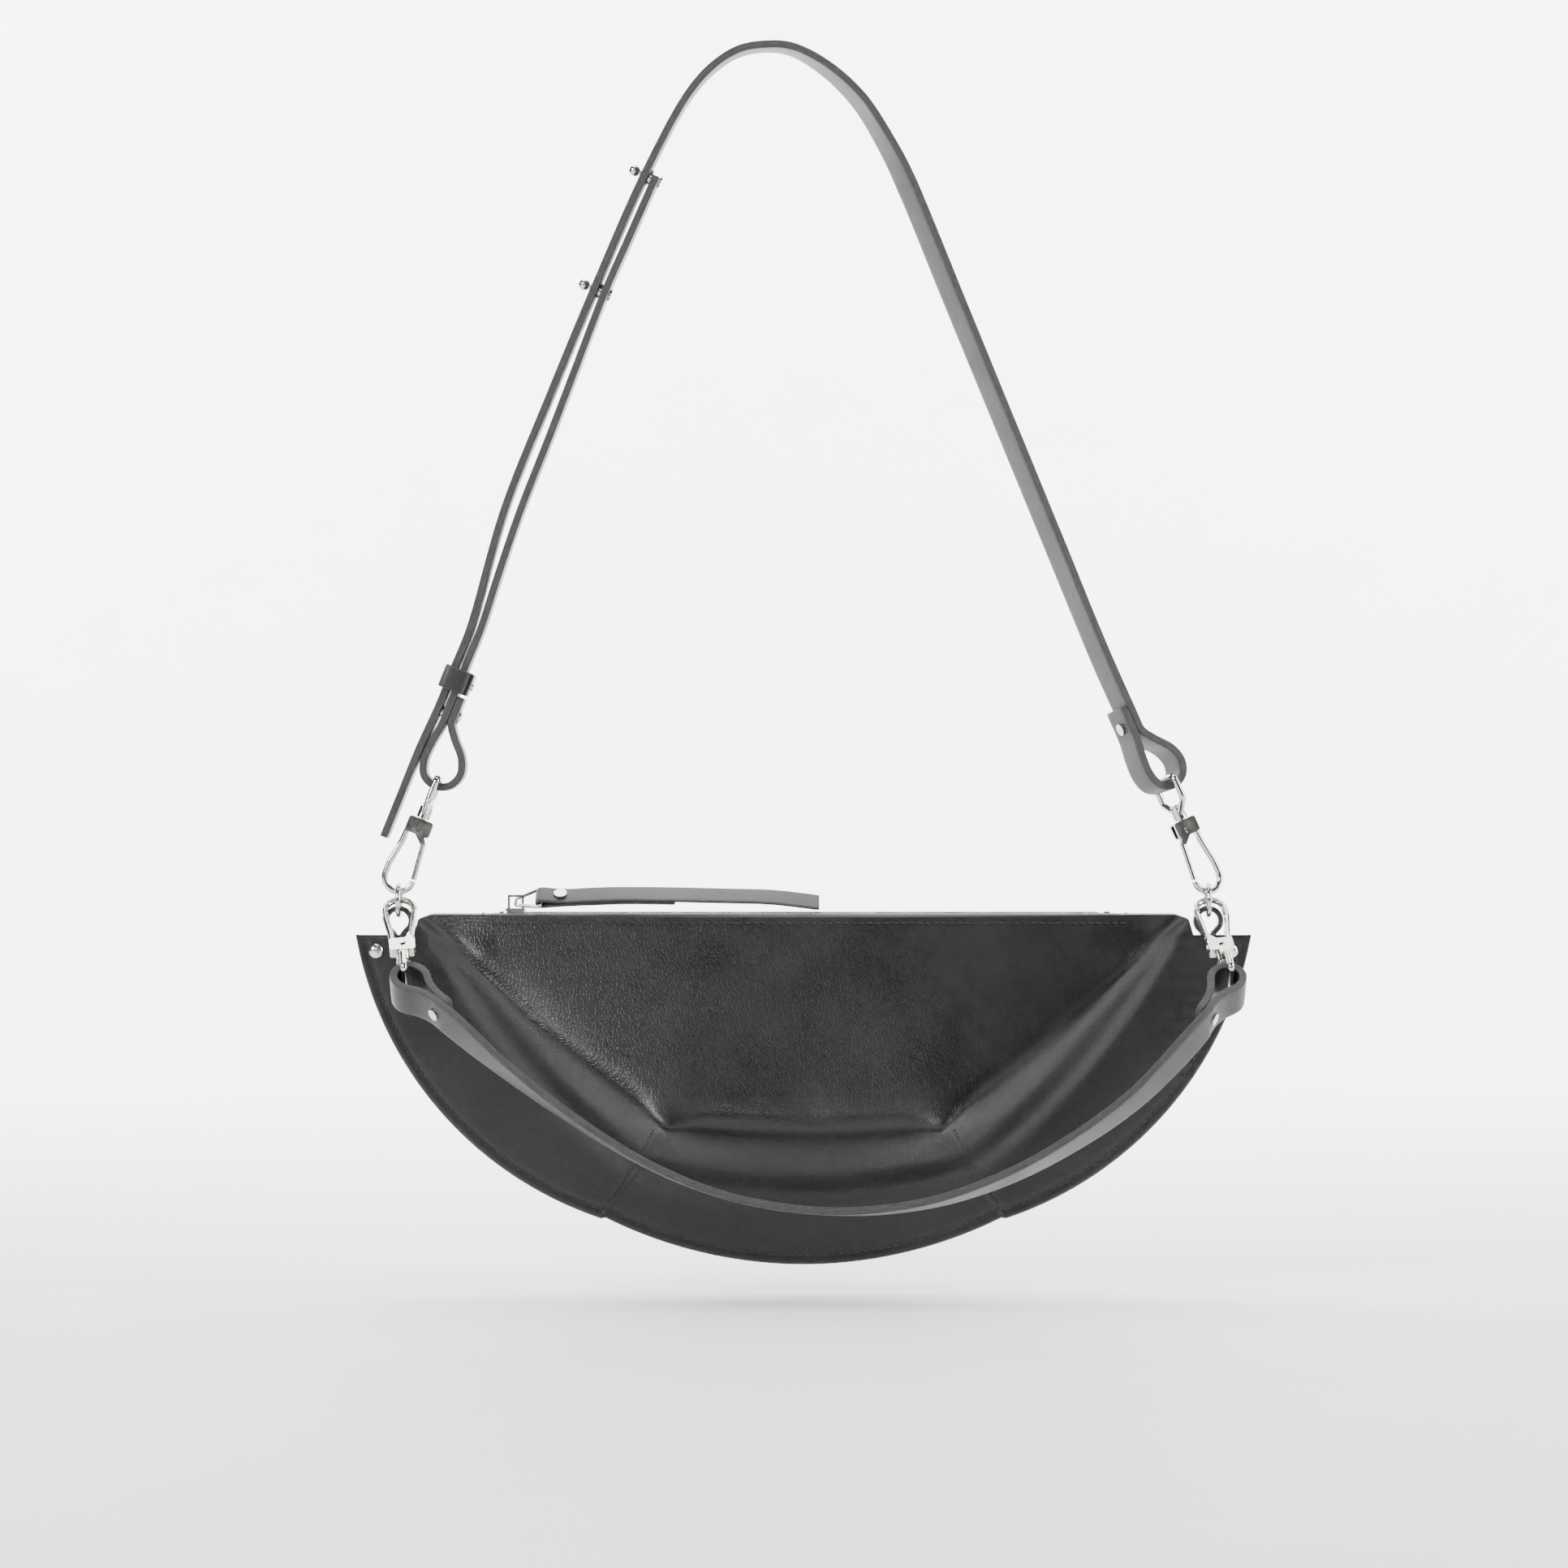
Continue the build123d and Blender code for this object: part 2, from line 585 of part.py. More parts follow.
twisting = [right_twist * share for share in (0.15, 0.4, 0.65, 0.85)]
angles = [0] * untwisted + twisting + [right_twist] * len(right_run)
main_widths = turned(main_points, angles) + [right_width] * len(right_loop)
main_body = band(main_points, main_widths)

# The adjuster strap follows the left leg on its inner side and ends in the left loop
with BuildLine() as leg_line:
    Spline(*left_run)
left_leg = leg_line.edges()[0]


def beside_leg(height, offset):
    """Point beside the left leg at the given height, and the strap's direction there."""
    low, high = 0.0, 1.0
    for _ in range(40):
        middle = (low + high) / 2
        if (left_leg @ middle).Z < height:
            low = middle
        else:
            high = middle
    along = left_leg % low
    inward = along.cross(Vector(0, 1, 0)) * -1
    if inward.X < 0:
        inward = inward * -1
    return (left_leg @ low) + inward * offset, inward, along


stud_base = 1.2             # height of the stud's foot between the layers
stud_layer = strap_thickness + stud_base + 2 * layer_gap
adjuster_rise = 10.0        # free end above the shoulder


def down_leg(share):
    """Height at a share of the way from the left leg's shoulder down to its foot."""
    return left_shoulder.Z + (left_foot.Z - left_shoulder.Z) * share


stud_shares = {"upper": 0.0051, "lower": 0.2544}
adjuster_run = [beside_leg(left_shoulder.Z + adjuster_rise, stud_layer)[0]]
for share, bow in ((stud_shares["upper"], 0), (0.1272, 0.1), (stud_shares["lower"], 0),
                   (0.4172, 1.0), (0.5699, 1.8), (0.7378, 1.8), (0.8904, 0.4)):
    adjuster_run.append(beside_leg(down_leg(share), stud_layer + bow)[0])
adjuster_run += [left_place(far_layer, 62), left_place(far_layer, 46)]
left_loop = [left_place(*place) for place in reversed(loop_route)]
adjuster_points = adjuster_run + left_loop
adjuster_widths = [Vector(0, 1, 0)] * len(adjuster_points)
adjuster_body = band(adjuster_points, adjuster_widths)

rivet_shaft = 1.1
stud_post = 1.3


def across_plane(point, direction):
    return Plane(origin=point, z_dir=direction)


stud_places = {}
for name, share in stud_shares.items():
    place, inward, _ = beside_leg(down_leg(share), 0)
    stud_places[name] = across_plane(place, inward)

rivet_rise = 22.5           # loop centre up to the rivet through both layers
left_rivet = across_plane(left_place(far_layer, rivet_rise), left_across)
right_rivet = across_plane(right_place(far_layer, rivet_rise), right_across)

with BuildPart() as main_strap:
    add(main_body)
    for plane in stud_places.values():
        with Locations(plane.location):
            Cylinder(stud_post + 0.2, 2 * strap_thickness, mode=Mode.SUBTRACT)
    with Locations(right_rivet.location):
        Cylinder(rivet_shaft + hole_clearance, 6 * strap_thickness, mode=Mode.SUBTRACT)
save(main_strap.part, "main_strap")

with BuildPart() as adjuster_strap:
    add(adjuster_body)
    for plane in stud_places.values():
        with Locations(plane.offset(stud_layer).location):
            Cylinder(rivet_shaft + hole_clearance, 2 * strap_thickness, mode=Mode.SUBTRACT)
    with Locations(left_rivet.location):
        Cylinder(rivet_shaft + hole_clearance, 6 * strap_thickness, mode=Mode.SUBTRACT)
save(adjuster_strap.part, "adjuster_strap")

# Double-capped rivet through two strap layers; z = 0 is the middle of the far layer
cap_radius = 3.0
near_face = layer + strap_thickness / 2 + 0.15
far_face = -strap_thickness / 2 - 0.15
with BuildPart() as rivet_shape:
    with BuildSketch(Plane.XY.offset(far_face - 0.9)):
        Circle(cap_radius - 0.4)
    extrude(amount=0.9)
    with BuildSketch(Plane.XY.offset(far_face)):
        Circle(rivet_shaft)
    extrude(amount=near_face - far_face)
    with BuildSketch(Plane.XZ):
        with BuildLine():
            Polyline((0, near_face), (cap_radius, near_face), (cap_radius, near_face + 0.4))
            dome(cap_radius, near_face + 0.4, 1.1)
            Line((0, near_face + 1.5), (0, near_face))
        make_face()
    revolve(axis=Axis.Z)
save(rivet_shape.part.moved(left_rivet.location), "strap_rivet_left")
save(rivet_shape.part.moved(right_rivet.location), "strap_rivet_right")

# Button studs: ball and post through the main strap, screwed on from the adjuster
foot_low = strap_thickness / 2 + layer_gap
ball_radius = 2.5
ball_centre = -strap_thickness / 2 - 3.5
neck = math.sqrt(ball_radius ** 2 - stud_post ** 2)
with BuildPart() as stud_shape:
    with BuildSketch(Plane.XZ):
        with BuildLine():
            Polyline((0, foot_low + stud_base), (3.4, foot_low + stud_base), (3.4, foot_low),
                     (stud_post, foot_low), (stud_post, ball_centre + neck))
            ThreePointArc((stud_post, ball_centre + neck), (ball_radius, ball_centre),
                          (0, ball_centre - ball_radius))
            Line((0, ball_centre - ball_radius), (0, foot_low + stud_base))
        make_face()
    revolve(axis=Axis.Z)
    with Locations((0, 0, foot_low)):
        Cylinder(0.8, 2 * stud_base + 2, mode=Mode.SUBTRACT)
screw_face = stud_layer + strap_thickness / 2 + 0.15
with BuildPart() as screw_shape:
    with BuildSketch(Plane.XY.offset(foot_low)):
        Circle(0.75)
    extrude(amount=screw_face - foot_low)
    with BuildSketch(Plane.XY.offset(screw_face)):
        Circle(2.6)
        Rectangle(4.0, 0.6, mode=Mode.SUBTRACT)
    extrude(amount=1.0)
for name, plane in stud_places.items():
    save(stud_shape.part.moved(plane.location), f"stud_{name}")
    save(screw_shape.part.moved(plane.location), f"stud_screw_{name}")

# Keeper: a leather band round both layers, its ends riveted together
keeper_height = 10.0
keeper_wall = 1.6
keeper_room = 0.4
keeper_rise = lap_end + 1.2 + keeper_height / 2
stack_low = keeper_layer - strap_thickness / 2
stack_high = far_layer + strap_thickness / 2
keeper_centre = left_place((stack_low + stack_high) / 2, keeper_rise)
keeper_plane = Plane(origin=keeper_centre, x_dir=left_across, z_dir=left_up)
inner_x = stack_high - stack_low + 2 * keeper_room
inner_y = strap_width + 2 * keeper_room
with BuildPart() as keeper:
    with BuildSketch(keeper_plane.offset(-keeper_height / 2)):
        RectangleRounded(inner_x + 2 * keeper_wall, inner_y + 2 * keeper_wall, 2.4)
        # The overlapped ends
        with Locations((inner_x / 2 + 1.5 * keeper_wall, 0)):
            Rectangle(keeper_wall, inner_y - 2.0)
        Rectangle(inner_x, inner_y, mode=Mode.SUBTRACT)
    extrude(amount=keeper_height)
    with Locations(Plane(origin=keeper_centre, z_dir=left_across).location):
        Cylinder(rivet_shaft + hole_clearance, 3 * inner_x,
                 align=(Align.CENTER, Align.CENTER, Align.MIN), mode=Mode.SUBTRACT)
save(keeper.part, "keeper")

keeper_face = inner_x / 2 + 2 * keeper_wall
with BuildPart() as keeper_rivet:
    rivet_plane = Plane(origin=keeper_centre, z_dir=left_across)
    with BuildSketch(rivet_plane.offset(inner_x / 2 + 0.05)):
        Circle(rivet_shaft)
    extrude(amount=2 * keeper_wall)
    with BuildSketch(rivet_plane.offset(keeper_face + 0.05)):
        Circle(2.6)
    extrude(amount=1.0, taper=25)
save(keeper_rivet.part, "keeper_rivet")

# ---- Handle strap ---------------------------------------------------------------
handle_radius = 6.6
handle_lap = 24.0
half_layer = layer / 2
handle_diagonal = handle_radius * math.sqrt(0.5)
handle_route = [
    (half_layer, handle_lap), (half_layer, 16.5), (3.2, 9.5), (6.2, 3.4), (handle_radius, 0),
    (handle_diagonal, -handle_diagonal), (0, -handle_radius),
    (-handle_diagonal, -handle_diagonal), (-handle_radius, 0), (-6.2, 3.4), (-3.2, 9.5),
    (-half_layer, 16.5), (-half_layer, handle_lap),
]


def handle_frame(plane, pull):
    """Centre and directions of a handle loop, pulled at an angle below the bag's length."""
    inward = Vector(plane.x_dir)
    pull = math.radians(pull)
    along = inward * math.cos(pull) + plane.z_dir * math.sin(pull)
    upward = inward * math.sin(pull) - plane.z_dir * math.cos(pull)
    bar = plane.origin + plane.z_dir * hook_to_bar
    drop = handle_radius - strap_thickness / 2 - clearance - eye_wire / 2
    return bar + along * drop, upward, along


handle_width = hook_planes["lower_left"].y_dir
handle_loops = {}
for side, pull in (("left", 52), ("right", 54)):
    centre, upward, along = handle_frame(hook_planes[f"lower_{side}"], pull)
    handle_loops[side] = [centre + upward * across + along * up for across, up in handle_route]

handle_front = bag_half_depth + 6.5
handle_drape = [      # share of the span, share of the sag, front edge up in degrees
    (-0.742, 0.515, 30), (-0.582, 0.676, 16), (-0.381, 0.844, 9), (-0.181, 0.951, 6),
    (0.06, 1.0, 6), (0.281, 0.978, 12), (0.461, 0.905, 20), (0.622, 0.797, 28), (0.80, 0.63, 38),
]
handle_middle = [Vector(bag_shift + ring_half_span * x, -handle_front, ring_z - handle_sag * z)
                 for x, z, _ in handle_drape]
middle_widths = [Vector(0, -math.cos(math.radians(tilt)), math.sin(math.radians(tilt)))
                 for _, _, tilt in handle_drape]
handle_points = handle_loops["left"] + handle_middle + list(reversed(handle_loops["right"]))
loop_widths = [handle_width] * len(handle_route)
handle_body = band(handle_points, loop_widths + middle_widths + loop_widths)

handle_rivets = {}
for side, pull in (("left", 52), ("right", 54)):
    centre, upward, along = handle_frame(hook_planes[f"lower_{side}"], pull)
    handle_rivets[side] = across_plane(centre - upward * half_layer + along * 19.5, upward)

with BuildPart() as handle_strap:
    add(handle_body)
    for plane in handle_rivets.values():
        with Locations(plane.location):
            Cylinder(rivet_shaft + hole_clearance, 6 * strap_thickness, mode=Mode.SUBTRACT)
save(handle_strap.part, "handle_strap")
for side, plane in handle_rivets.items():
    save(rivet_shape.part.moved(plane.location), f"handle_rivet_{side}")
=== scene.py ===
import json
import math

import bmesh
import bpy
import numpy as np
from mathutils import Matrix, Vector


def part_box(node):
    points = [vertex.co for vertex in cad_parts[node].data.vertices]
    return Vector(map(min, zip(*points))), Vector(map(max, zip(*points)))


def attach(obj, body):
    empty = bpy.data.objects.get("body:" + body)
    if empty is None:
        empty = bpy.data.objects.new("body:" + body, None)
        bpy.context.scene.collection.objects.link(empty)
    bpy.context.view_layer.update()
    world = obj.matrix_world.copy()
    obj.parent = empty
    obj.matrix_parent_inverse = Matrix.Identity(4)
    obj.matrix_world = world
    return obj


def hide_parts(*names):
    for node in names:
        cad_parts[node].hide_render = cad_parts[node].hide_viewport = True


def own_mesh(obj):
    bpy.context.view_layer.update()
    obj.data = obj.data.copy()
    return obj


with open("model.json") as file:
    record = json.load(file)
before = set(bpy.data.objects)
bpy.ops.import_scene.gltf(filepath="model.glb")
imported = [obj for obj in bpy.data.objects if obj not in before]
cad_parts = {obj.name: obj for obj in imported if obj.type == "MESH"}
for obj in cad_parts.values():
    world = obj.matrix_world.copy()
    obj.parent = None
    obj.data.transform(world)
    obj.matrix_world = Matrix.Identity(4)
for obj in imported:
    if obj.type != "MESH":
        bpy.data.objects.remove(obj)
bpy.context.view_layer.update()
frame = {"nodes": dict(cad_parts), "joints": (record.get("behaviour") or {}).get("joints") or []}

# Half-moon leather shoulder bag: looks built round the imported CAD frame.
# Lengths are in metres; MM turns millimetres into metres.

MM = 0.001
joints = {joint["name"]: joint for joint in frame["joints"]}
rng = np.random.default_rng(7)

# ---- Places read from the frame --------------------------------------------------
ring_left = Vector(joints["ring_left_turn"]["pos_m"])
ring_right = Vector(joints["ring_right_turn"]["pos_m"])
bag_x = (ring_left.x + ring_right.x) / 2
ring_z = ring_left.z
ring_half_span = ring_right.x - bag_x
panel_low, panel_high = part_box("front_panel")
top_z = panel_high[2]
flange_bottom = panel_low[2]
half_depth = -panel_low[1]
half_width = (panel_high[0] - panel_low[0]) / 2

# ---- Sizes of the body, in mm from the bag's centre line and its top edge ----------
SEAM_HALF_TOP = 7.0          # half of the flat strip along the top
SLOT_HALF_WIDTH = 3.5
SLOT_HALF_LENGTH = 133.0
LEATHER = 2.0
CORNER = -9.0                # flange corners
MOUTH = 165.0                # half of the body's top edge
TIP_X, TIP_Z = 60.0, -88.0   # dart tips
DART_X, DART_Z = 86.0, -130.5  # darts at the edge
HALF_WIDTH = half_width / MM
BOTTOM = (flange_bottom - top_z) / MM
DEPTH = half_depth / MM
STITCH_INSET = 4.0           # flange edge in to its stitch line
SETTLE_CAP = 2.5             # most that the leather moves when it settles

# Sizes of the straps and the pieces that they go through, in mm
STRAP_WIDTH = 15.0
STRAP_THICKNESS = 3.2
EYE_WIRE = 3.0
HANDLE_SAG = 129.5           # ring centres down to the lowest point of the handle
TEETH_PITCH = 2.07


# ---- Materials ---------------------------------------------------------------------
def new_material(name):
    material = bpy.data.materials.new(name)
    material.use_nodes = True
    tree = material.node_tree
    shader = tree.nodes["Principled BSDF"]
    return material, tree, shader


def node(tree, kind, inputs=None, **settings):
    """Add a shader node, set its properties, and link or set its inputs."""
    made = tree.nodes.new(kind)
    for key, value in settings.items():
        setattr(made, key, value)
    for key, value in (inputs or {}).items():
        socket = made.inputs[key]
        if isinstance(value, bpy.types.NodeSocket):
            tree.links.new(value, socket)
        else:
            socket.default_value = value
    return made


def ramp(tree, factor, stops):
    made = node(tree, "ShaderNodeValToRGB", {"Fac": factor})
    elements = made.color_ramp.elements
    while len(elements) < len(stops):
        elements.new(0.5)
    for element, (place, color) in zip(elements, stops):
        element.position = place
        element.color = (*color, 1)
    return made.outputs["Color"]


def grey(value, warmth=0.0):
    return (value * (1 + warmth), value, value * (1 - warmth))


def noise(tree, coords, scale, detail=4.0, roughness=0.55, distortion=0.0):
    made = node(tree, "ShaderNodeTexNoise", {"Vector": coords, "Scale": scale, "Detail": detail,
                                             "Roughness": roughness, "Distortion": distortion})
    return made.outputs["Fac"]


def math_node(tree, operation, first, second=0.0):
    made = node(tree, "ShaderNodeMath", operation=operation)
    for socket, value in zip(made.inputs, (first, second)):
        if isinstance(value, bpy.types.NodeSocket):
            tree.links.new(value, socket)
        else:
            socket.default_value = value
    return made.outputs[0]


def mapping(tree, scale, source="Object"):
    coords = node(tree, "ShaderNodeTexCoord")
    made = node(tree, "ShaderNodeMapping", {"Vector": coords.outputs[source], "Scale": scale})
    return made.outputs["Vector"]


def bump(tree, height, strength, distance):
    inputs = {"Height": height, "Strength": strength, "Distance": distance}
    return node(tree, "ShaderNodeBump", inputs).outputs["Normal"]


def link(tree, output, shader, name):
    tree.links.new(output, shader.inputs[name])


def leather_material(name, dark, light, rough, grain_scale, grain_depth):
    """Smooth black leather: fine pebbled grain, pores and uneven polish."""
    material, tree, shader = new_material(name)
    coords = mapping(tree, (1, 1, 1))
    patches = noise(tree, coords, 35, 5, 0.6)
    fine = noise(tree, coords, 420, 3, 0.6)
    cells = node(tree, "ShaderNodeTexVoronoi", {"Vector": coords, "Scale": grain_scale,
                                                "Randomness": 1.0},
                 feature="DISTANCE_TO_EDGE").outputs["Distance"]
    pores = node(tree, "ShaderNodeTexVoronoi", {"Vector": coords, "Scale": grain_scale * 0.42,
                                                "Randomness": 1.0}).outputs["Distance"]
    tone = math_node(tree, "ADD", math_node(tree, "MULTIPLY", patches, 0.6),
                     math_node(tree, "MULTIPLY", fine, 0.4))
    link(tree, ramp(tree, tone, [(0.3, dark), (0.75, light)]), shader, "Base Color")
    shine = node(tree, "ShaderNodeMapRange", {"Value": patches, "From Min": 0.3, "From Max": 0.7,
                                              "To Min": rough - 0.05, "To Max": rough + 0.07})
    link(tree, shine.outputs["Result"], shader, "Roughness")
    shader.inputs["Specular IOR Level"].default_value = 0.42
    grain = math_node(tree, "MINIMUM", cells, 0.12)
    height = math_node(tree, "ADD", math_node(tree, "MULTIPLY", grain, 5.0),
                       math_node(tree, "MULTIPLY", pores, 0.5))
    height = math_node(tree, "ADD", height, math_node(tree, "MULTIPLY", fine, 0.5))
    link(tree, bump(tree, height, 1.0, grain_depth), shader, "Normal")
    return material


def edge_material():
    """Raw cut edge of vegetable-tanned strap leather, dyed black: pressed fibres."""
    material, tree, shader = new_material("raw_edge")
    coords = mapping(tree, (260, 2600, 1), "UV")
    fibres = noise(tree, coords, 1.0, 5, 0.65)
    blotches = noise(tree, mapping(tree, (90, 900, 1), "UV"), 1.0, 3, 0.6)
    tone = math_node(tree, "ADD", math_node(tree, "MULTIPLY", fibres, 0.7),
                     math_node(tree, "MULTIPLY", blotches, 0.3))
    link(tree, ramp(tree, tone, [(0.32, grey(0.014)), (0.55, grey(0.036, 0.02)),
                                 (0.8, grey(0.085, 0.03))]), shader, "Base Color")
    shader.inputs["Roughness"].default_value = 0.78
    link(tree, bump(tree, tone, 1.0, 0.0005), shader, "Normal")
    return material


def metal_material(name, color, rough, scratch=0.00003):
    """Bright plated metal with faint polishing marks and smudges."""
    material, tree, shader = new_material(name)
    coords = mapping(tree, (1, 1, 1))
    smudge = noise(tree, coords, 160, 4, 0.6)
    marks = noise(tree, mapping(tree, (900, 900, 260)), 1.0, 3, 0.6)
    shader.inputs["Metallic"].default_value = 1.0
    darker = tuple(channel * 0.86 for channel in color)
    link(tree, ramp(tree, smudge, [(0.35, darker), (0.65, color)]), shader, "Base Color")
    shine = node(tree, "ShaderNodeMapRange", {"Value": smudge, "From Min": 0.3, "From Max": 0.7,
                                              "To Min": rough * 0.7, "To Max": rough * 1.5})
    link(tree, shine.outputs["Result"], shader, "Roughness")
    link(tree, bump(tree, marks, 1.0, scratch), shader, "Normal")
    return material


def thread_material():
    """Waxed black thread: twisted plies along the stitch."""
    material, tree, shader = new_material("thread")
    coords = mapping(tree, (1, 1, 1))
    plies = node(tree, "ShaderNodeTexWave", {"Vector": coords, "Scale": 900, "Distortion": 2.0})
    link(tree, ramp(tree, plies.outputs["Fac"], [(0.2, grey(0.004)), (0.8, grey(0.014))]), shader,
         "Base Color")
    shader.inputs["Roughness"].default_value = 0.5
    link(tree, bump(tree, plies.outputs["Fac"], 1.0, 0.0001), shader, "Normal")
    return material


def tape_material():
    """Woven zip tape."""
    material, tree, shader = new_material("zip_tape_weave")
    coords = mapping(tree, (1, 1, 1))
    warp = node(tree, "ShaderNodeTexWave", {"Vector": coords, "Scale": 520, "Distortion": 0.4},
                bands_direction="X").outputs["Fac"]
    weft = node(tree, "ShaderNodeTexWave", {"Vector": coords, "Scale": 420, "Distortion": 0.4},
                bands_direction="Y").outputs["Fac"]
    weave = math_node(tree, "MULTIPLY", warp, weft)
    link(tree, ramp(tree, weave, [(0.1, grey(0.004)), (0.8, grey(0.022))]), shader, "Base Color")
    shader.inputs["Roughness"].default_value = 0.9
    shader.inputs["Sheen Weight"].default_value = 0.15
    link(tree, bump(tree, weave, 1.0, 0.0002), shader, "Normal")
    return material


def stage_material():
    material, tree, shader = new_material("paper_floor")
    coords = mapping(tree, (1, 1, 1))
    mottling = noise(tree, coords, 14, 3, 0.5)
    link(tree, ramp(tree, mottling, [(0.3, grey(0.86)), (0.7, grey(0.88))]), shader, "Base Color")
    shader.inputs["Roughness"].default_value = 0.55
    return material


BAG_LEATHER = leather_material("bag_leather_grain", grey(0.0035), grey(0.008, 0.02), 0.33, 700,
                               0.00007)
STRAP_LEATHER = leather_material("strap_leather_grain", grey(0.007, 0.03), grey(0.015, 0.05), 0.42,
                                 800, 0.00007)
TAB_LEATHER = leather_material("tab_leather_gloss", grey(0.008), grey(0.016), 0.26, 1700, 0.00006)
SUEDE = leather_material("flesh_side", grey(0.020, 0.02), grey(0.040, 0.04), 0.85, 2600, 0.0002)
RAW_EDGE = edge_material()
NICKEL = metal_material("nickel_plate", (0.62, 0.60, 0.57), 0.14)
TEETH_METAL = metal_material("zip_teeth_metal", (0.78, 0.76, 0.72), 0.20)
SPRING_STEEL = metal_material("spring_steel_wire", (0.55, 0.55, 0.56), 0.3)
THREAD = thread_material()
TAPE = tape_material()
PAPER = stage_material()


# ---- Mesh helpers --------------------------------------------------------------------
def smoothstep(low, high, value):
    share = np.clip((value - low) / (high - low), 0, 1)
    return share * share * (3 - 2 * share)


def mesh_object(name, vertices, faces, materials, smooth=True):
    mesh = bpy.data.meshes.new(name)
    mesh.from_pydata([tuple(v) for v in vertices], [], [tuple(f) for f in faces])
    mesh.update()
    made = bpy.data.objects.new(name, mesh)
    bpy.context.scene.collection.objects.link(made)
    for material in materials:
        mesh.materials.append(material)
    if smooth:
        mesh.polygons.foreach_set("use_smooth", [True] * len(mesh.polygons))
    return made


def apply_modifiers(obj):
    dg = bpy.context.evaluated_depsgraph_get()
    mesh = bpy.data.meshes.new_from_object(obj.evaluated_get(dg))
    old = obj.data
    obj.modifiers.clear()
    obj.data = mesh
    bpy.data.meshes.remove(old)


def grid_faces(rows, columns):
    faces = []
    for row in range(rows - 1):
        for column in range(columns - 1):
            first = row * columns + column
            faces.append((first, first + 1, first + columns + 1, first + columns))
    return faces


def place(piece, body, slot, *nodes):
    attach(piece, body)
    if nodes:
        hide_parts(*nodes)


# ---- The body's surface, as a depth in front of the seam plane -------------------------
def arc_points(start, through, end, count):
    """Points along the circle through three points, in a plane."""
    (ax, az), (bx, bz), (cx, cz) = start, through, end
    d = 2 * (ax * (bz - cz) + bx * (cz - az) + cx * (az - bz))
    ux = ((ax**2 + az**2) * (bz - cz) + (bx**2 + bz**2) * (cz - az)
          + (cx**2 + cz**2) * (az - bz)) / d
    uz = ((ax**2 + az**2) * (cx - bx) + (bx**2 + bz**2) * (ax - cx)
          + (cx**2 + cz**2) * (bx - ax)) / d
    first = math.atan2(az - uz, ax - ux)
    last = math.atan2(cz - uz, cx - ux)
    radius = math.hypot(ax - ux, az - uz)
    turn = (last - first + math.pi) % (2 * math.pi) - math.pi
    angles = first + turn * np.linspace(0, 1, count)
    return np.stack([ux + radius * np.cos(angles), uz + radius * np.sin(angles)], 1)


def chord_arc(start, end, bulge, count):
    """Arc from start to end that stands out past its chord by bulge, away from the bag."""
    start, end = np.array(start, float), np.array(end, float)
    side = end - start
    normal = np.array([-side[1], side[0]]) / np.linalg.norm(side)
    if normal[0] < 0:
        normal = -normal
    return arc_points(start, (start + end) / 2 + normal * bulge, end, count)


def resample(points, count):
    points = np.asarray(points, float)
    steps = np.linalg.norm(np.diff(points, axis=0), axis=1)
    along = np.concatenate([[0], np.cumsum(steps)])
    wanted = np.linspace(0, along[-1], count)
    return np.stack([np.interp(wanted, along, points[:, axis])
                     for axis in range(points.shape[1])], 1)


CREASE = BOTTOM + 28.0
CREASE_DART = (74.0, CREASE + 14.0)


def base_curve():
    """Foot of the moulded body on the right-hand half: top corner down to the dart."""
    side = chord_arc((MOUTH, CORNER + 3), CREASE_DART, 7.0, 60)
    top = np.stack([np.linspace(TIP_X, MOUTH, 60), np.zeros(60)], 1)
    corner = arc_points((MOUTH, 0), (MOUTH + 2.5, -3), (MOUTH, CORNER + 3), 5)
    return np.concatenate([top, corner[1:-1], side])


def raw_depth(x, z):
    """Depth of the moulded body at each point, before the leather softens its edges."""
    x = np.abs(x)
    top_slope = (DEPTH - SEAM_HALF_TOP) / -TIP_Z
    crease = CREASE + 14.0 * (np.minimum(x, TIP_X) / CREASE_DART[0]) ** 2
    lower = DEPTH * (z - crease) / (TIP_Z - 3 - crease)
    middle = np.minimum(SEAM_HALF_TOP - top_slope * z, lower)
    curve = base_curve()
    angles = np.arctan2(curve[:, 1] - TIP_Z, curve[:, 0] - TIP_X)
    reach = np.hypot(curve[:, 0] - TIP_X, curve[:, 1] - TIP_Z)
    foot = np.where(curve[:, 1] > -1, SEAM_HALF_TOP, 0.0)
    order = np.argsort(angles)
    angle = np.arctan2(z - TIP_Z, x - TIP_X)
    radius = np.interp(angle, angles[order], reach[order])
    low = np.interp(angle, angles[order], foot[order])
    share = np.hypot(x - TIP_X, z - TIP_Z) / radius
    side = low + (DEPTH - low) * (1 - share)
    return np.where(x <= TIP_X, middle, side)


def blurred(field, sigma):
    reach = int(3 * sigma) + 1
    offsets = np.arange(-reach, reach + 1)
    weights = np.exp(-offsets**2 / (2 * sigma**2))
    weights /= weights.sum()
    padded = np.pad(field, reach, mode="edge")
    padded = np.apply_along_axis(lambda line: np.convolve(line, weights, "same"), 0, padded)
    padded = np.apply_along_axis(lambda line: np.convolve(line, weights, "same"), 1, padded)
    return padded[reach:-reach, reach:-reach]


raster_x = np.arange(-210, 211, 1.0)
raster_z = np.arange(-170, 25, 1.0)
grid_x, grid_z = np.meshgrid(raster_x, raster_z)
moulded = np.maximum(raw_depth(grid_x, np.minimum(grid_z, 0)), LEATHER)
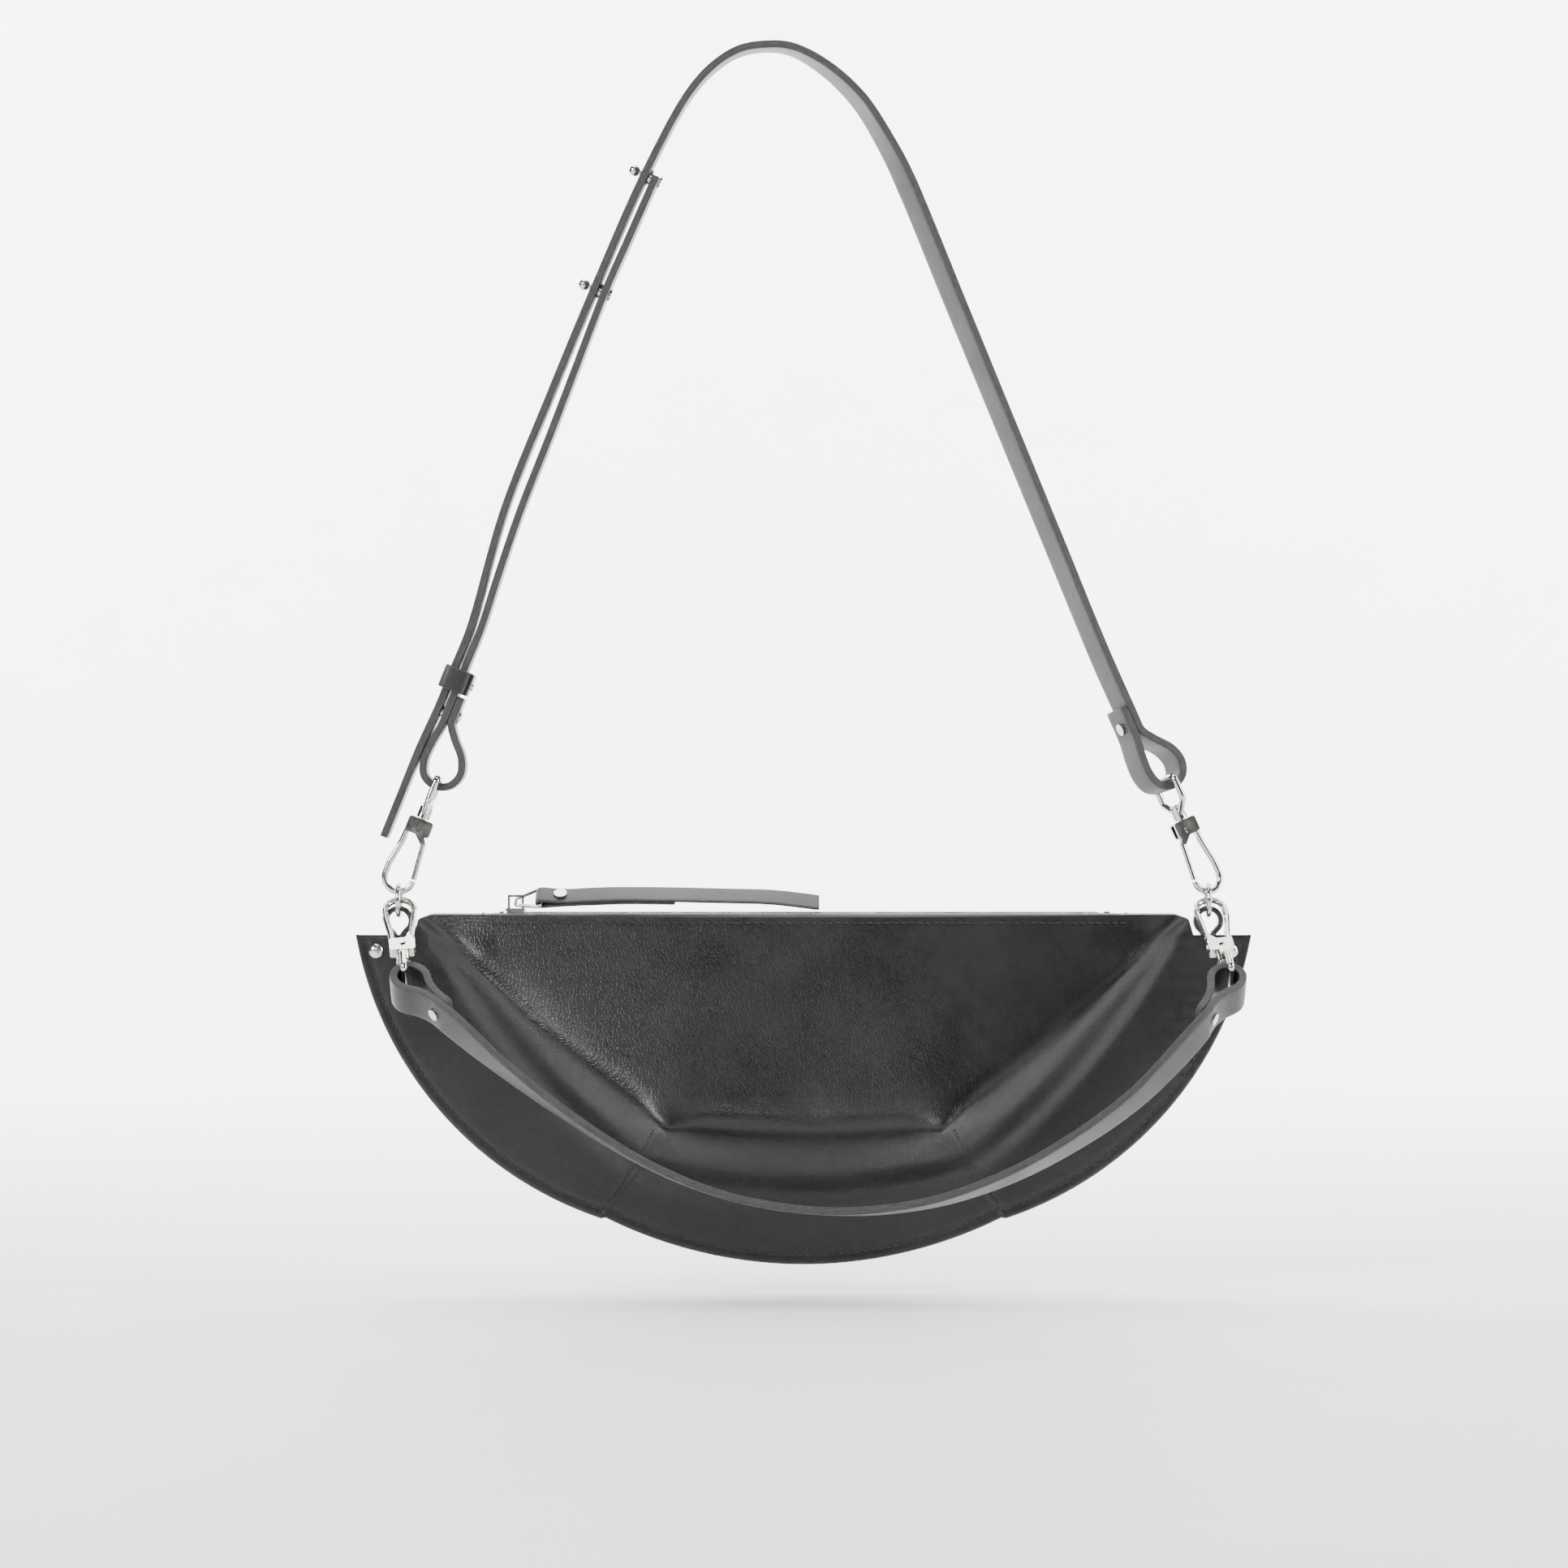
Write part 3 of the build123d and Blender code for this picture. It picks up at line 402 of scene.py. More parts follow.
# The leather is puffed between its edges, and stays tight at the darts and the crease
puff = 1.6 * np.sin(np.clip((moulded - LEATHER) / DEPTH, 0, 1) * math.pi) ** 2
tight = blurred(moulded + puff, 2.0)
loose = blurred(moulded + puff, 8.5)
firm = blurred(moulded + puff, 4.0)
tip_distance = np.hypot(np.abs(grid_x) - TIP_X, grid_z - TIP_Z)
near_tip = np.exp(-(tip_distance / 11.0) ** 2)
# The fullest line is softly rounded; the foot of the body and the top edge are creased
fullness = smoothstep(10, 26, moulded)
soft = loose * fullness + firm * (1 - fullness)
soft = np.where(grid_z > -4, tight, soft * smoothstep(-4, -16, grid_z)
                + tight * (1 - smoothstep(-4, -16, grid_z)))
moulded = tight * near_tip + soft * (1 - near_tip)


def sample(field, x, z):
    """Bilinear lookup in a 1 mm raster."""
    column = np.clip(x - raster_x[0], 0, len(raster_x) - 1.001)
    row = np.clip(z - raster_z[0], 0, len(raster_z) - 1.001)
    c, r = column.astype(int), row.astype(int)
    fc, fr = column - c, row - r
    return (field[r, c] * (1 - fc) * (1 - fr) + field[r, c + 1] * fc * (1 - fr)
            + field[r + 1, c] * (1 - fc) * fr + field[r + 1, c + 1] * fc * fr)


def outline_half(count):
    """Right-hand half of the outline: lowest point, dart, flange corner."""
    bottom = arc_points((0, BOTTOM), (DART_X * 0.52, BOTTOM + 5.35), (DART_X, DART_Z), count)
    side = chord_arc((HALF_WIDTH, CORNER), (DART_X + 1.2, DART_Z - 0.6), 22.3, count)[::-1]
    return bottom, side


def panel_grid(inner_columns, outer_columns, upper_rows, lower_rows):
    """Grid of (x, z) whose middle row follows the fullest line and whose columns the darts."""
    bottom, side = outline_half(400)
    ease = np.linspace(0, 1, inner_columns)
    out = np.linspace(0, 1, outer_columns)
    ease = 1 - (1 - ease) ** 1.25
    out = out ** 1.25
    t_in = np.stack([ease * 46, ease * 0], 1)
    m_in = np.stack([ease * TIP_X, TIP_Z + ease * 0], 1)
    o_in = np.stack([np.interp(ease, np.linspace(0, 1, 400), resample(bottom, 400)[:, axis])
                     for axis in (0, 1)], 1)
    top_path = resample([(46, 0), (MOUTH - 5, 0), (MOUTH + 1, -2.2), (MOUTH + 3, CORNER)], 400)
    ridge_path = resample([(TIP_X, TIP_Z), (MOUTH + 3, CORNER)], 400)
    o_path = resample(side, 400)
    steps = np.linspace(0, 1, 400)
    pick = lambda path: np.stack([np.interp(out, steps, path[:, a]) for a in (0, 1)], 1)
    t_out, m_out, o_out = pick(top_path), pick(ridge_path), pick(o_path)
    right = [np.concatenate([a[:-1], b]) for a, b in ((t_in, t_out), (m_in, m_out), (o_in, o_out))]
    full = []
    for half in right:
        left = half[::-1].copy()
        left[:, 0] *= -1
        full.append(np.concatenate([left[:-1], half]))
    top, middle, outer = full
    rows = [top + (middle - top) * s for s in np.linspace(0, 1, upper_rows)]
    rows += [middle + (outer - middle) * s for s in np.linspace(0, 1, lower_rows)[1:]]
    return np.array(rows)


def dart_step(x, z, height=1.1, fade=30.0):
    """The side facet lies over the middle one along each dart, as a lapped seam."""
    along = np.array([DART_X - TIP_X, DART_Z - TIP_Z])
    length = np.linalg.norm(along)
    along = along / length
    dx, dz = np.abs(x) - TIP_X, z - TIP_Z
    distance = dx * -along[1] + dz * along[0]
    run = dx * along[0] + dz * along[1]
    bow = 2.0 * np.sin(np.clip(run / length, 0, 1) * math.pi)
    distance = distance + bow
    shape = smoothstep(-0.25, 0.55, distance) * np.exp(-np.maximum(distance, 0) / fade)
    return height * shape * smoothstep(0, 9, run)


def surface_depth(x, z):
    """Outer surface of one half, measured from the seam plane."""
    skin = sample(moulded, x, z)
    body = skin - LEATHER
    depth = skin + dart_step(x, z)
    # Crease where the body meets the flange
    valley = np.exp(-((body - 0.6) / 0.9) ** 2) * 0.35
    depth = depth - valley * smoothstep(CORNER + 4, CORNER - 8, z)
    diagonal = (x * 0.62 + z * 0.78)
    fan = smoothstep(15, 60, x) * smoothstep(140, 90, x) * smoothstep(-95, -65, z)
    fan = fan * smoothstep(-18, -34, z)
    ripple = np.sin(diagonal / 1.9 + 1.3 * np.sin(x / 11.0)) * np.sin(x / 17.0 + 0.5)
    depth = depth + 0.05 * ripple * fan
    sag = np.sin(x / 23.0 + 0.7) * np.sin(z / 19.0 + x / 60.0) + 0.6 * np.sin(x / 41.0 - 1.1)
    full = smoothstep(6, 24, body)
    depth = depth + 0.30 * sag * full
    # Soft dents near the ends of the top edge
    for centre, width in ((-150, 13), (146, 12)):
        dent = np.exp(-((x - centre) / width) ** 2 - ((z + 9) / 7) ** 2)
        depth = depth - 1.6 * dent
    # Fine level wrinkles in the right-hand flange
    side = smoothstep(150, 168, x) * smoothstep(-100, -80, z) * smoothstep(3, 0.6, body)
    depth = depth + 0.14 * side * np.sin(z / 0.95 + 0.6 * np.sin(x / 6.0))
    return depth


# ---- Body panels -----------------------------------------------------------------------
def inset_curve(points, distance):
    """The curve moved sideways, towards the bag's middle."""
    points = np.asarray(points, float)
    along = np.gradient(points, axis=0)
    along /= np.linalg.norm(along, axis=1)[:, None]
    normal = np.stack([-along[:, 1], along[:, 0]], 1)
    middle = np.array([0.0, -60.0])
    turn = np.where(((middle - points) * normal).sum(1) < 0, -1.0, 1.0)
    return points + normal * (turn * distance)[:, None]


def flange_stitch_path():
    """Stitch line a little inside the whole outline, from corner to corner."""
    bottom, side = outline_half(400)
    half = np.concatenate([bottom, side])
    half = inset_curve(resample(half, 300), STITCH_INSET)
    half = half[half[:, 1] < CORNER - 3]
    left = half[::-1].copy()
    left[:, 0] *= -1
    return np.concatenate([left[:-1], half])


def dart_stitch_path(side):
    """Stitches beside the lapped dart seam, on its outer side."""
    steps = np.linspace(0.07, 0.97, 40)
    line = np.stack([TIP_X + (DART_X - TIP_X) * steps, TIP_Z + (DART_Z - TIP_Z) * steps], 1)
    along = np.array([DART_X - TIP_X, DART_Z - TIP_Z])
    along /= np.linalg.norm(along)
    normal = np.array([-along[1], along[0]])
    bow = 2.0 * np.sin(steps * math.pi)
    line = line + normal * (2.6 - bow)[:, None]
    line[:, 0] *= side
    return line


def stitched_groove(path):
    """Shallow pull-down of the leather along a stitch line, on the raster."""
    hollow = np.zeros_like(moulded)
    path = resample(path, max(int(len(path) * 3), 50))
    for x, z in path:
        column, row = int(x - raster_x[0]), int(z - raster_z[0])
        r0, r1, c0, c1 = max(row - 4, 0), row + 5, max(column - 4, 0), column + 5
        distance = (grid_x[r0:r1, c0:c1] - x) ** 2 + (grid_z[r0:r1, c0:c1] - z) ** 2
        hollow[r0:r1, c0:c1] = np.maximum(hollow[r0:r1, c0:c1], np.exp(-distance / 1.6))
    return hollow


flange_path = flange_stitch_path()
dart_paths = [dart_stitch_path(side) for side in (-1, 1)]
grooves = 0.32 * stitched_groove(flange_path) + 0.25 * sum(stitched_groove(p) for p in dart_paths)


def outer_depth(x, z):
    return surface_depth(x, z) - sample(grooves, x, z)


def top_rows(top, count):
    """Rows that roll over from the zip's slot, or from the seam, to the top edge."""
    x = top[:, 0]
    inner = SLOT_HALF_WIDTH * smoothstep(SLOT_HALF_LENGTH + 4, SLOT_HALF_LENGTH - 1, np.abs(x))
    outer = outer_depth(x, top[:, 1])
    rows = []
    for share in np.linspace(0, 1, count)[:-1]:
        y = inner + 0.05 + (outer - inner) * share
        crown = 0.45 * math.sin(math.pi * min(share * 1.2, 1)) - 1.5 * (1 - share) ** 8
        z = top[:, 1] + crown - 0.25 * share**3
        rows.append(np.stack([x, -y, z], 1))
    return rows


def body_panel(name, cad_node, mirror):
    upper = panel_grid(46, 96, 48, 58)
    rows = top_rows(upper[0], 9)
    for row in upper:
        rows.append(np.stack([row[:, 0], -outer_depth(row[:, 0], row[:, 1]), row[:, 1]], 1))
    points = np.array(rows)
    # Round the cut edge of the flange
    points[-1, :, 1] += 0.5
    count, columns = points.shape[:2]
    flat = points.reshape(-1, 3)
    if mirror:
        flat = flat * [1, -1, 1]
    faces = grid_faces(count, columns)
    if not mirror:
        faces = [face[::-1] for face in faces]
    vertices = flat * MM + [bag_x, 0, top_z]
    panel = mesh_object(name, vertices, faces, [BAG_LEATHER, RAW_EDGE, SUEDE])
    relax_as_cloth(panel, count, columns)
    wall = panel.modifiers.new("wall", "SOLIDIFY")
    wall.thickness = (LEATHER - 0.05) * MM
    wall.offset = -1
    wall.material_offset = 2
    wall.material_offset_rim = 1
    apply_modifiers(panel)
    place(panel, "bag", "bag_leather", cad_node)
    return panel


def relax_as_cloth(panel, rows, columns):
    """Let the leather settle a little between its seams, on a coarse copy of the panel."""
    step_r, step_c = 3, 4
    data = panel.data
    count = len(data.vertices)
    flat = np.empty(count * 3)
    data.vertices.foreach_get("co", flat)
    points = flat.reshape(rows, columns, 3)
    # The end columns run together at the top corners, so the copy leaves them out
    margin = 10
    r_index = list(range(8, rows - 1, step_r))
    c_index = list(range(margin, columns - margin, step_c))
    coarse = points[np.ix_(r_index, c_index)]
    rest = coarse.reshape(-1, 3)
    made = mesh_object(panel.name + "_settle", rest, grid_faces(len(r_index), len(c_index)), [])
    depth = np.abs(rest[:, 1])
    row_of = np.repeat(np.array(r_index), len(c_index))
    column_of = np.tile(np.array(c_index), len(r_index))
    held = (depth < 4.8 * MM) | (row_of < 12) | (row_of > rows - 6)
    held |= (column_of == c_index[0]) | (column_of == c_index[-1])
    # The dart seams are stiff and keep their place
    beside_tip = np.abs(np.abs(rest[:, 0] - bag_x) / MM - TIP_X)
    dart_x = TIP_X + (DART_X - TIP_X) * ((rest[:, 2] - top_z) / MM - TIP_Z) / (DART_Z - TIP_Z)
    beside_dart = np.abs(np.abs(rest[:, 0] - bag_x) / MM - dart_x)
    below_tip = rest[:, 2] < top_z + TIP_Z * MM
    held |= (below_tip & (beside_dart < 9)) | (
        (beside_tip < 9) & (np.abs((rest[:, 2] - top_z) / MM - TIP_Z) < 9))
    group = made.vertex_groups.new(name="held")
    group.add([int(i) for i in np.nonzero(held)[0]], 1.0, "REPLACE")
    cloth = made.modifiers.new("settle", "CLOTH")
    cloth.settings.quality = 6
    cloth.settings.mass = 0.6
    cloth.settings.tension_stiffness = 60
    cloth.settings.compression_stiffness = 60
    cloth.settings.shear_stiffness = 40
    cloth.settings.bending_stiffness = 30
    cloth.settings.vertex_group_mass = "held"
    cloth.settings.use_pressure = True
    cloth.settings.uniform_pressure_force = 0.6
    cloth.collision_settings.use_collision = False
    scene = bpy.context.scene
    cloth.point_cache.frame_start = 1
    cloth.point_cache.frame_end = 20
    for number in range(1, 21):
        scene.frame_set(number)
    settled = made.evaluated_get(bpy.context.evaluated_depsgraph_get()).data
    moved = np.empty(len(settled.vertices) * 3)
    settled.vertices.foreach_get("co", moved)
    shift = (moved.reshape(-1, 3) - rest).reshape(len(r_index), len(c_index), 3)
    # The whole movement is scaled so that its largest step is the cap
    largest = np.linalg.norm(shift, axis=2).max()
    shift *= min(1.0, SETTLE_CAP * MM / max(largest, 1e-9))
    along_rows = np.empty((rows, len(c_index), 3))
    for axis in range(3):
        for column in range(len(c_index)):
            along_rows[:, column, axis] = np.interp(np.arange(rows), r_index, shift[:, column, axis])
    full = np.empty((rows, columns, 3))
    for axis in range(3):
        for row in range(rows):
            full[row, :, axis] = np.interp(np.arange(columns), c_index, along_rows[row, :, axis])
    points = points + full
    data.vertices.foreach_set("co", points.reshape(-1))
    data.update()
    scene.frame_set(1)
    bpy.data.objects.remove(made, do_unlink=True)


body_panel("front_leather", "front_panel", False)
body_panel("back_leather", "back_panel", True)


# ---- Stitching -------------------------------------------------------------------------
def stitches(name, body, slot, runs, pitch=3.5, length=2.7, radius=0.34):
    """One mesh of short sunk threads along runs of (points, outward normals), in metres."""
    vertices, faces = [], []
    sides = 6
    rings = [(-0.5, 0.35, -0.7), (-0.36, 0.9, 0.0), (0.0, 1.0, 0.35), (0.36, 0.9, 0.0),
             (0.5, 0.35, -0.7)]
    for points, normals in runs:
        steps = np.linalg.norm(np.diff(points, axis=0), axis=1)
        along = np.concatenate([[0], np.cumsum(steps)])
        count = max(int(along[-1] / (pitch * MM)), 1)
        for centre in (np.arange(count) + 0.5) * along[-1] / count:
            at = np.array([np.interp(centre, along, points[:, a]) for a in range(3)])
            ahead = np.array([np.interp(centre + 0.8 * MM, along, points[:, a]) for a in range(3)])
            before = np.array([np.interp(centre - 0.8 * MM, along, points[:, a])
                               for a in range(3)])
            out = np.array([np.interp(centre, along, normals[:, a]) for a in range(3)])
            forward = (ahead - before) / max(np.linalg.norm(ahead - before), 1e-9)
            out = out - forward * out.dot(forward)
            out /= max(np.linalg.norm(out), 1e-9)
            across = np.cross(forward, out)
            tilt = 0.10 + 0.05 * rng.standard_normal()
            forward = forward * math.cos(tilt) + across * math.sin(tilt)
            across = np.cross(forward, out)
            first = len(vertices)
            for share, wide, rise in rings:
                middle = at + forward * share * length * MM + out * rise * radius * MM
                for side in range(sides):
                    angle = 2 * math.pi * side / sides
                    vertices.append(middle + (across * math.cos(angle) + out * math.sin(angle))
                                    * wide * radius * MM)
            for ring in range(len(rings) - 1):
                for side in range(sides):
                    a = first + ring * sides + side
                    b = first + ring * sides + (side + 1) % sides
                    faces.append((a, b, b + sides, a + sides))
            faces.append(tuple(first + side for side in range(sides))[::-1])
            last = first + (len(rings) - 1) * sides
            faces.append(tuple(last + side for side in range(sides)))
    made = mesh_object(name, vertices, faces, [THREAD])
    place(made, body, slot)
    return made


def on_panel(path, mirror, lift=0.1):
    """Points and normals on a panel's outer face along a path of (x, z) in mm."""
    path = resample(path, max(int(len(path) * 2), 60))
    x, z = path[:, 0], path[:, 1]
    depth = outer_depth(x, z)
    slope_x = (outer_depth(x + 0.8, z) - outer_depth(x - 0.8, z)) / 1.6
    slope_z = (outer_depth(x, z + 0.8) - outer_depth(x, z - 0.8)) / 1.6
    sign = 1.0 if mirror else -1.0
    normal = np.stack([-slope_x, np.full(len(x), sign), -slope_z], 1)
    normal /= np.linalg.norm(normal, axis=1)[:, None]
    points = np.stack([x, sign * (depth + lift), z], 1) * MM + [bag_x, 0, top_z]
    return points, normal


for side_name, mirror in (("front", False), ("back", True)):
    stitches(f"flange_stitches_{side_name}", "bag", "bag_leather",
             [on_panel(flange_path, mirror)])
    stitches(f"dart_stitches_{side_name}", "bag", "bag_leather",
             [on_panel(path, mirror) for path in dart_paths])
    zip_line = np.stack([np.linspace(-138, 139, 120), np.full(120, -3.6)], 1)
    runs = [on_panel(zip_line, mirror)]
    for end in (-138, 139):
        y_values = np.linspace(0.4, 6.6, 12)
        sign = 1.0 if mirror else -1.0
        points = np.stack([np.full(12, end), sign * y_values, np.full(12, 0.42)], 1)
        runs.append((points * MM + [bag_x, 0, top_z], np.tile([0.0, 0.0, 1.0], (12, 1))))
    stitches(f"zip_stitches_{side_name}", "bag", "bag_leather", runs)


# ---- Flat leather straps ---------------------------------------------------------------
def smooth_path(points, spacing):
    """Centripetal Catmull-Rom curve through the points, and each sample's place in the list."""
    points = np.asarray(points, float)
    padded = np.concatenate([[2 * points[0] - points[1]], points, [2 * points[-1] - points[-2]]])
    samples, places = [], []
    for number in range(1, len(padded) - 2):
        p0, p1, p2, p3 = padded[number - 1:number + 3]
        t0 = 0.0
        t1 = t0 + np.linalg.norm(p1 - p0) ** 0.5
        t2 = t1 + np.linalg.norm(p2 - p1) ** 0.5
        t3 = t2 + np.linalg.norm(p3 - p2) ** 0.5
        count = max(int(np.linalg.norm(p2 - p1) / spacing), 2)
        for share in np.arange(count) / count:
            t = t1 + (t2 - t1) * share
            a1 = (t1 - t) / (t1 - t0) * p0 + (t - t0) / (t1 - t0) * p1
            a2 = (t2 - t) / (t2 - t1) * p1 + (t - t1) / (t2 - t1) * p2
            a3 = (t3 - t) / (t3 - t2) * p2 + (t - t2) / (t3 - t2) * p3
            b1 = (t2 - t) / (t2 - t0) * a1 + (t - t0) / (t2 - t0) * a2
            b2 = (t3 - t) / (t3 - t1) * a2 + (t - t1) / (t3 - t1) * a3
            samples.append((t2 - t) / (t2 - t1) * b1 + (t - t1) / (t2 - t1) * b2)
            places.append(number - 1 + share)
    samples.append(points[-1])
    places.append(len(points) - 1)
    return np.array(samples), np.array(places)


def strap_section(width, thickness, corner):
    """Rounded, slightly crowned section as (across, out, is edge, share of the width)."""
    half_w, half_t = width / 2, thickness / 2
    section = []
    for number in range(9):
        across = -half_w + corner + (width - 2 * corner) * number / 8
        crown = 0.10 * (1 - (across / half_w) ** 2)
        section.append((across, half_t + crown, False))
    for angle in (60, 30):
        section.append((half_w - corner + corner * math.cos(math.radians(angle)),
                        half_t - corner + corner * math.sin(math.radians(angle)), True))
    for out in np.linspace(half_t - corner, -half_t + corner, 4):
        section.append((half_w, out, True))
    mirrored = [(-across, -out, edge) for across, out, edge in section]
    for angle in (-30, -60):
        section.append((half_w - corner + corner * math.cos(math.radians(angle)),
                        -half_t + corner + corner * math.sin(math.radians(angle)), True))
    section += mirrored[:9]
    for angle in (-120, -150):
        section.append((-half_w + corner + corner * math.cos(math.radians(angle)),
                        -half_t + corner + corner * math.sin(math.radians(angle)), True))
    section += mirrored[11:]
    for angle in (150, 120):
        section.append((-half_w + corner + corner * math.cos(math.radians(angle)),
                        half_t - corner + corner * math.sin(math.radians(angle)), True))
    return section


def band(name, points, widths, body, slot, nodes, width=STRAP_WIDTH,
         thickness=STRAP_THICKNESS, corner=0.45, spacing=1.6, materials=None, closed=False,
         face_inside=None):
    """Leather strap along a smooth path, with a width direction at each point, in mm."""
    samples, places = smooth_path(points, spacing)
    widths = np.asarray(widths, float)
    sides = np.stack([np.interp(places, np.arange(len(widths)), widths[:, a]) for a in range(3)],
                     1)
    along = np.gradient(samples, axis=0)
    along /= np.linalg.norm(along, axis=1)[:, None]
    sides -= along * (sides * along).sum(1)[:, None]
    sides /= np.linalg.norm(sides, axis=1)[:, None]
    outs = np.cross(along, sides)
    section = strap_section(width, thickness, corner)
    length = np.concatenate([[0], np.cumsum(np.linalg.norm(np.diff(samples, axis=0), axis=1))])
    waver = sum(np.sin(length / wave + phase) * size for wave, phase, size in
                ((7.3, 0.4, 0.05), (17.0, 2.1, 0.07), (41.0, 1.2, 0.10)))
    ring = len(section)
    vertices = []
    for number in range(len(samples)):
        shrink = 1.0
        if not closed and number in (0, len(samples) - 1):
            shrink = 0.93
        for across, out, _ in section:
            edge = 1 + waver[number] / width
            vertices.append(samples[number] + sides[number] * across * edge * shrink
                            + outs[number] * out * shrink)
    faces, kinds = [], []
    for number in range(len(samples) - 1):
        for side in range(ring):
            after = (side + 1) % ring
            a, b = number * ring + side, number * ring + after
            faces.append((a, b, b + ring, a + ring))
            kinds.append(1 if section[side][2] or section[after][2] else 0)
    if not closed:
        faces.append(tuple(range(ring))[::-1])
        faces.append(tuple(range((len(samples) - 1) * ring, len(samples) * ring)))
        kinds += [1, 1]
    faces = [face[::-1] for face in faces]
    made = mesh_object(name, np.array(vertices) * MM, faces, materials or [STRAP_LEATHER, RAW_EDGE])
    made.data.polygons.foreach_set("material_index", kinds)
    uv = made.data.uv_layers.new(name="strap")
    around = np.cumsum([0] + [math.dist(section[k][:2], section[(k + 1) % ring][:2])
                              for k in range(ring)])
    for polygon in made.data.polygons:
        if len(polygon.vertices) != 4:
            for loop in polygon.loop_indices:
                vertex = made.data.loops[loop].vertex_index % ring
                uv.data[loop].uv = (section[vertex][0] * MM, section[vertex][1] * MM)
            continue
        sides_here = [made.data.loops[loop].vertex_index % ring for loop in polygon.loop_indices]
        for loop in polygon.loop_indices:
            index = made.data.loops[loop].vertex_index
            side = index % ring
            if side == 0 and ring - 1 in sides_here:
                side = ring
            uv.data[loop].uv = (length[index // ring] * MM, around[side] * MM)
    bm = bmesh.new()
    bm.from_mesh(made.data)
    bmesh.ops.recalc_face_normals(bm, faces=bm.faces)
    bm.to_mesh(made.data)
    bm.free()
    place(made, body, slot, *nodes)
    return made


def direction(vector):
    return np.array(vector, float) / np.linalg.norm(vector)


def hook_frame(where):
    """Bar centre and the hook's own directions, read from its joints."""
    rock = joints[f"eye_{where}_rock"]
    bar = np.array(rock["pos_m"], float) / MM
    side = direction(rock["axis"])
    shank = direction(joints[f"hook_{where}_swivel"]["axis"])
    return bar, np.cross(side, shank), side, shank


LAYER = STRAP_THICKNESS + 0.2
LOOP_RADIUS = 8.4
NEAR_LAYER = -3.6
FAR_LAYER = NEAR_LAYER - LAYER
LAP_END = 31.0
BAR_DROP = LOOP_RADIUS - STRAP_THICKNESS / 2 - 0.3 - EYE_WIRE / 2
DIAGONAL = LOOP_RADIUS * math.sqrt(0.5)
LOOP_ROUTE = [
    (NEAR_LAYER, LAP_END), (NEAR_LAYER, 24.5), (NEAR_LAYER + 0.2, 19.0), (0.6, 13.2), (6.2, 6.8),
    (LOOP_RADIUS, 0), (DIAGONAL, -DIAGONAL), (0, -LOOP_RADIUS), (-DIAGONAL, -DIAGONAL),
    (-LOOP_RADIUS, 0), (-LOOP_RADIUS + 0.1, 8.0), (FAR_LAYER - 0.2, 16.0),
    (FAR_LAYER, 20.5), (FAR_LAYER, 25.5), (FAR_LAYER, LAP_END),
]


def loop_frame(where):
    """Centre and directions of the strap loop on an upper hook's bar."""
    bar, across, side, shank = hook_frame(where)
    if across[0] < 0:
        across = -across
    return bar + shank * BAR_DROP, across, shank


left_centre, left_across, left_up = loop_frame("upper_left")
right_centre, right_across, right_up = loop_frame("upper_right")
right_width = np.cross(right_up, right_across)
right_twist = math.degrees(math.asin(min(abs(right_across[1]), 1.0)))


def left_place(across, up):
    return left_centre + left_across * across + left_up * up


def right_place(across, up):
    return right_centre + right_across * across + right_up * up


def main_strap():
    """Hanging tail, left leg, arch, right leg and the loop on the right hook."""
    tail = FAR_LAYER - LAYER - 1.8
    in_keeper = FAR_LAYER - LAYER - 0.9
    foot = left_place(in_keeper, 60)
    shoulder = np.array([-52.0, 0, -53.0])
    leg = shoulder - foot
    out = direction([-leg[2], 0, leg[0]])
    arch = [np.array([x, 0, STRAP_THICKNESS / 2 + z]) for x, z in (
        (-33.3, -20.4), (-22.4, -8.4), (-11.6, -1.9), (0, 0), (10.6, -1.2), (24.5, -8.8),
        (39.6, -23.0), (53.0, -44.5))]
    left_run = [left_place(tail, -37), left_place(tail, -16), left_place(tail, 4),
                left_place(in_keeper, 24), left_place(in_keeper, 42), foot,
                foot + leg * 0.25 + out * 4.6, foot + leg * 0.5 + out * 4.0,
                foot + leg * 0.75 + out * 2.6, shoulder]
    right_shoulder = np.array([59.9, 0, -57.0])
    right_foot = right_place(NEAR_LAYER, 55)
    right_run = [right_shoulder + (right_foot - right_shoulder) * share
                 for share in (0, 0.25, 0.5, 0.75, 1)]
    right_loop = [right_place(*spot) for spot in LOOP_ROUTE]
    points = left_run + arch + right_run + right_loop
    twisting = [right_twist * share for share in (0.15, 0.4, 0.65, 0.85)]
    angles = [0] * (len(left_run) + 4) + twisting + [right_twist] * len(right_run)
    widths = []
    for number, angle in enumerate(angles):
        step = points[min(number + 1, len(points) - 1)] - points[max(number - 1, 0)]
        normal = np.cross(direction(step), [0, 1, 0])
        angle = math.radians(angle)
        widths.append(np.array([0, math.cos(angle), 0]) - normal * math.sin(angle))
    widths += [right_width] * len(right_loop)
    band("shoulder_strap", points, widths, "strap", "strap_leather", ["main_strap"])
    return left_run


left_run = main_strap()


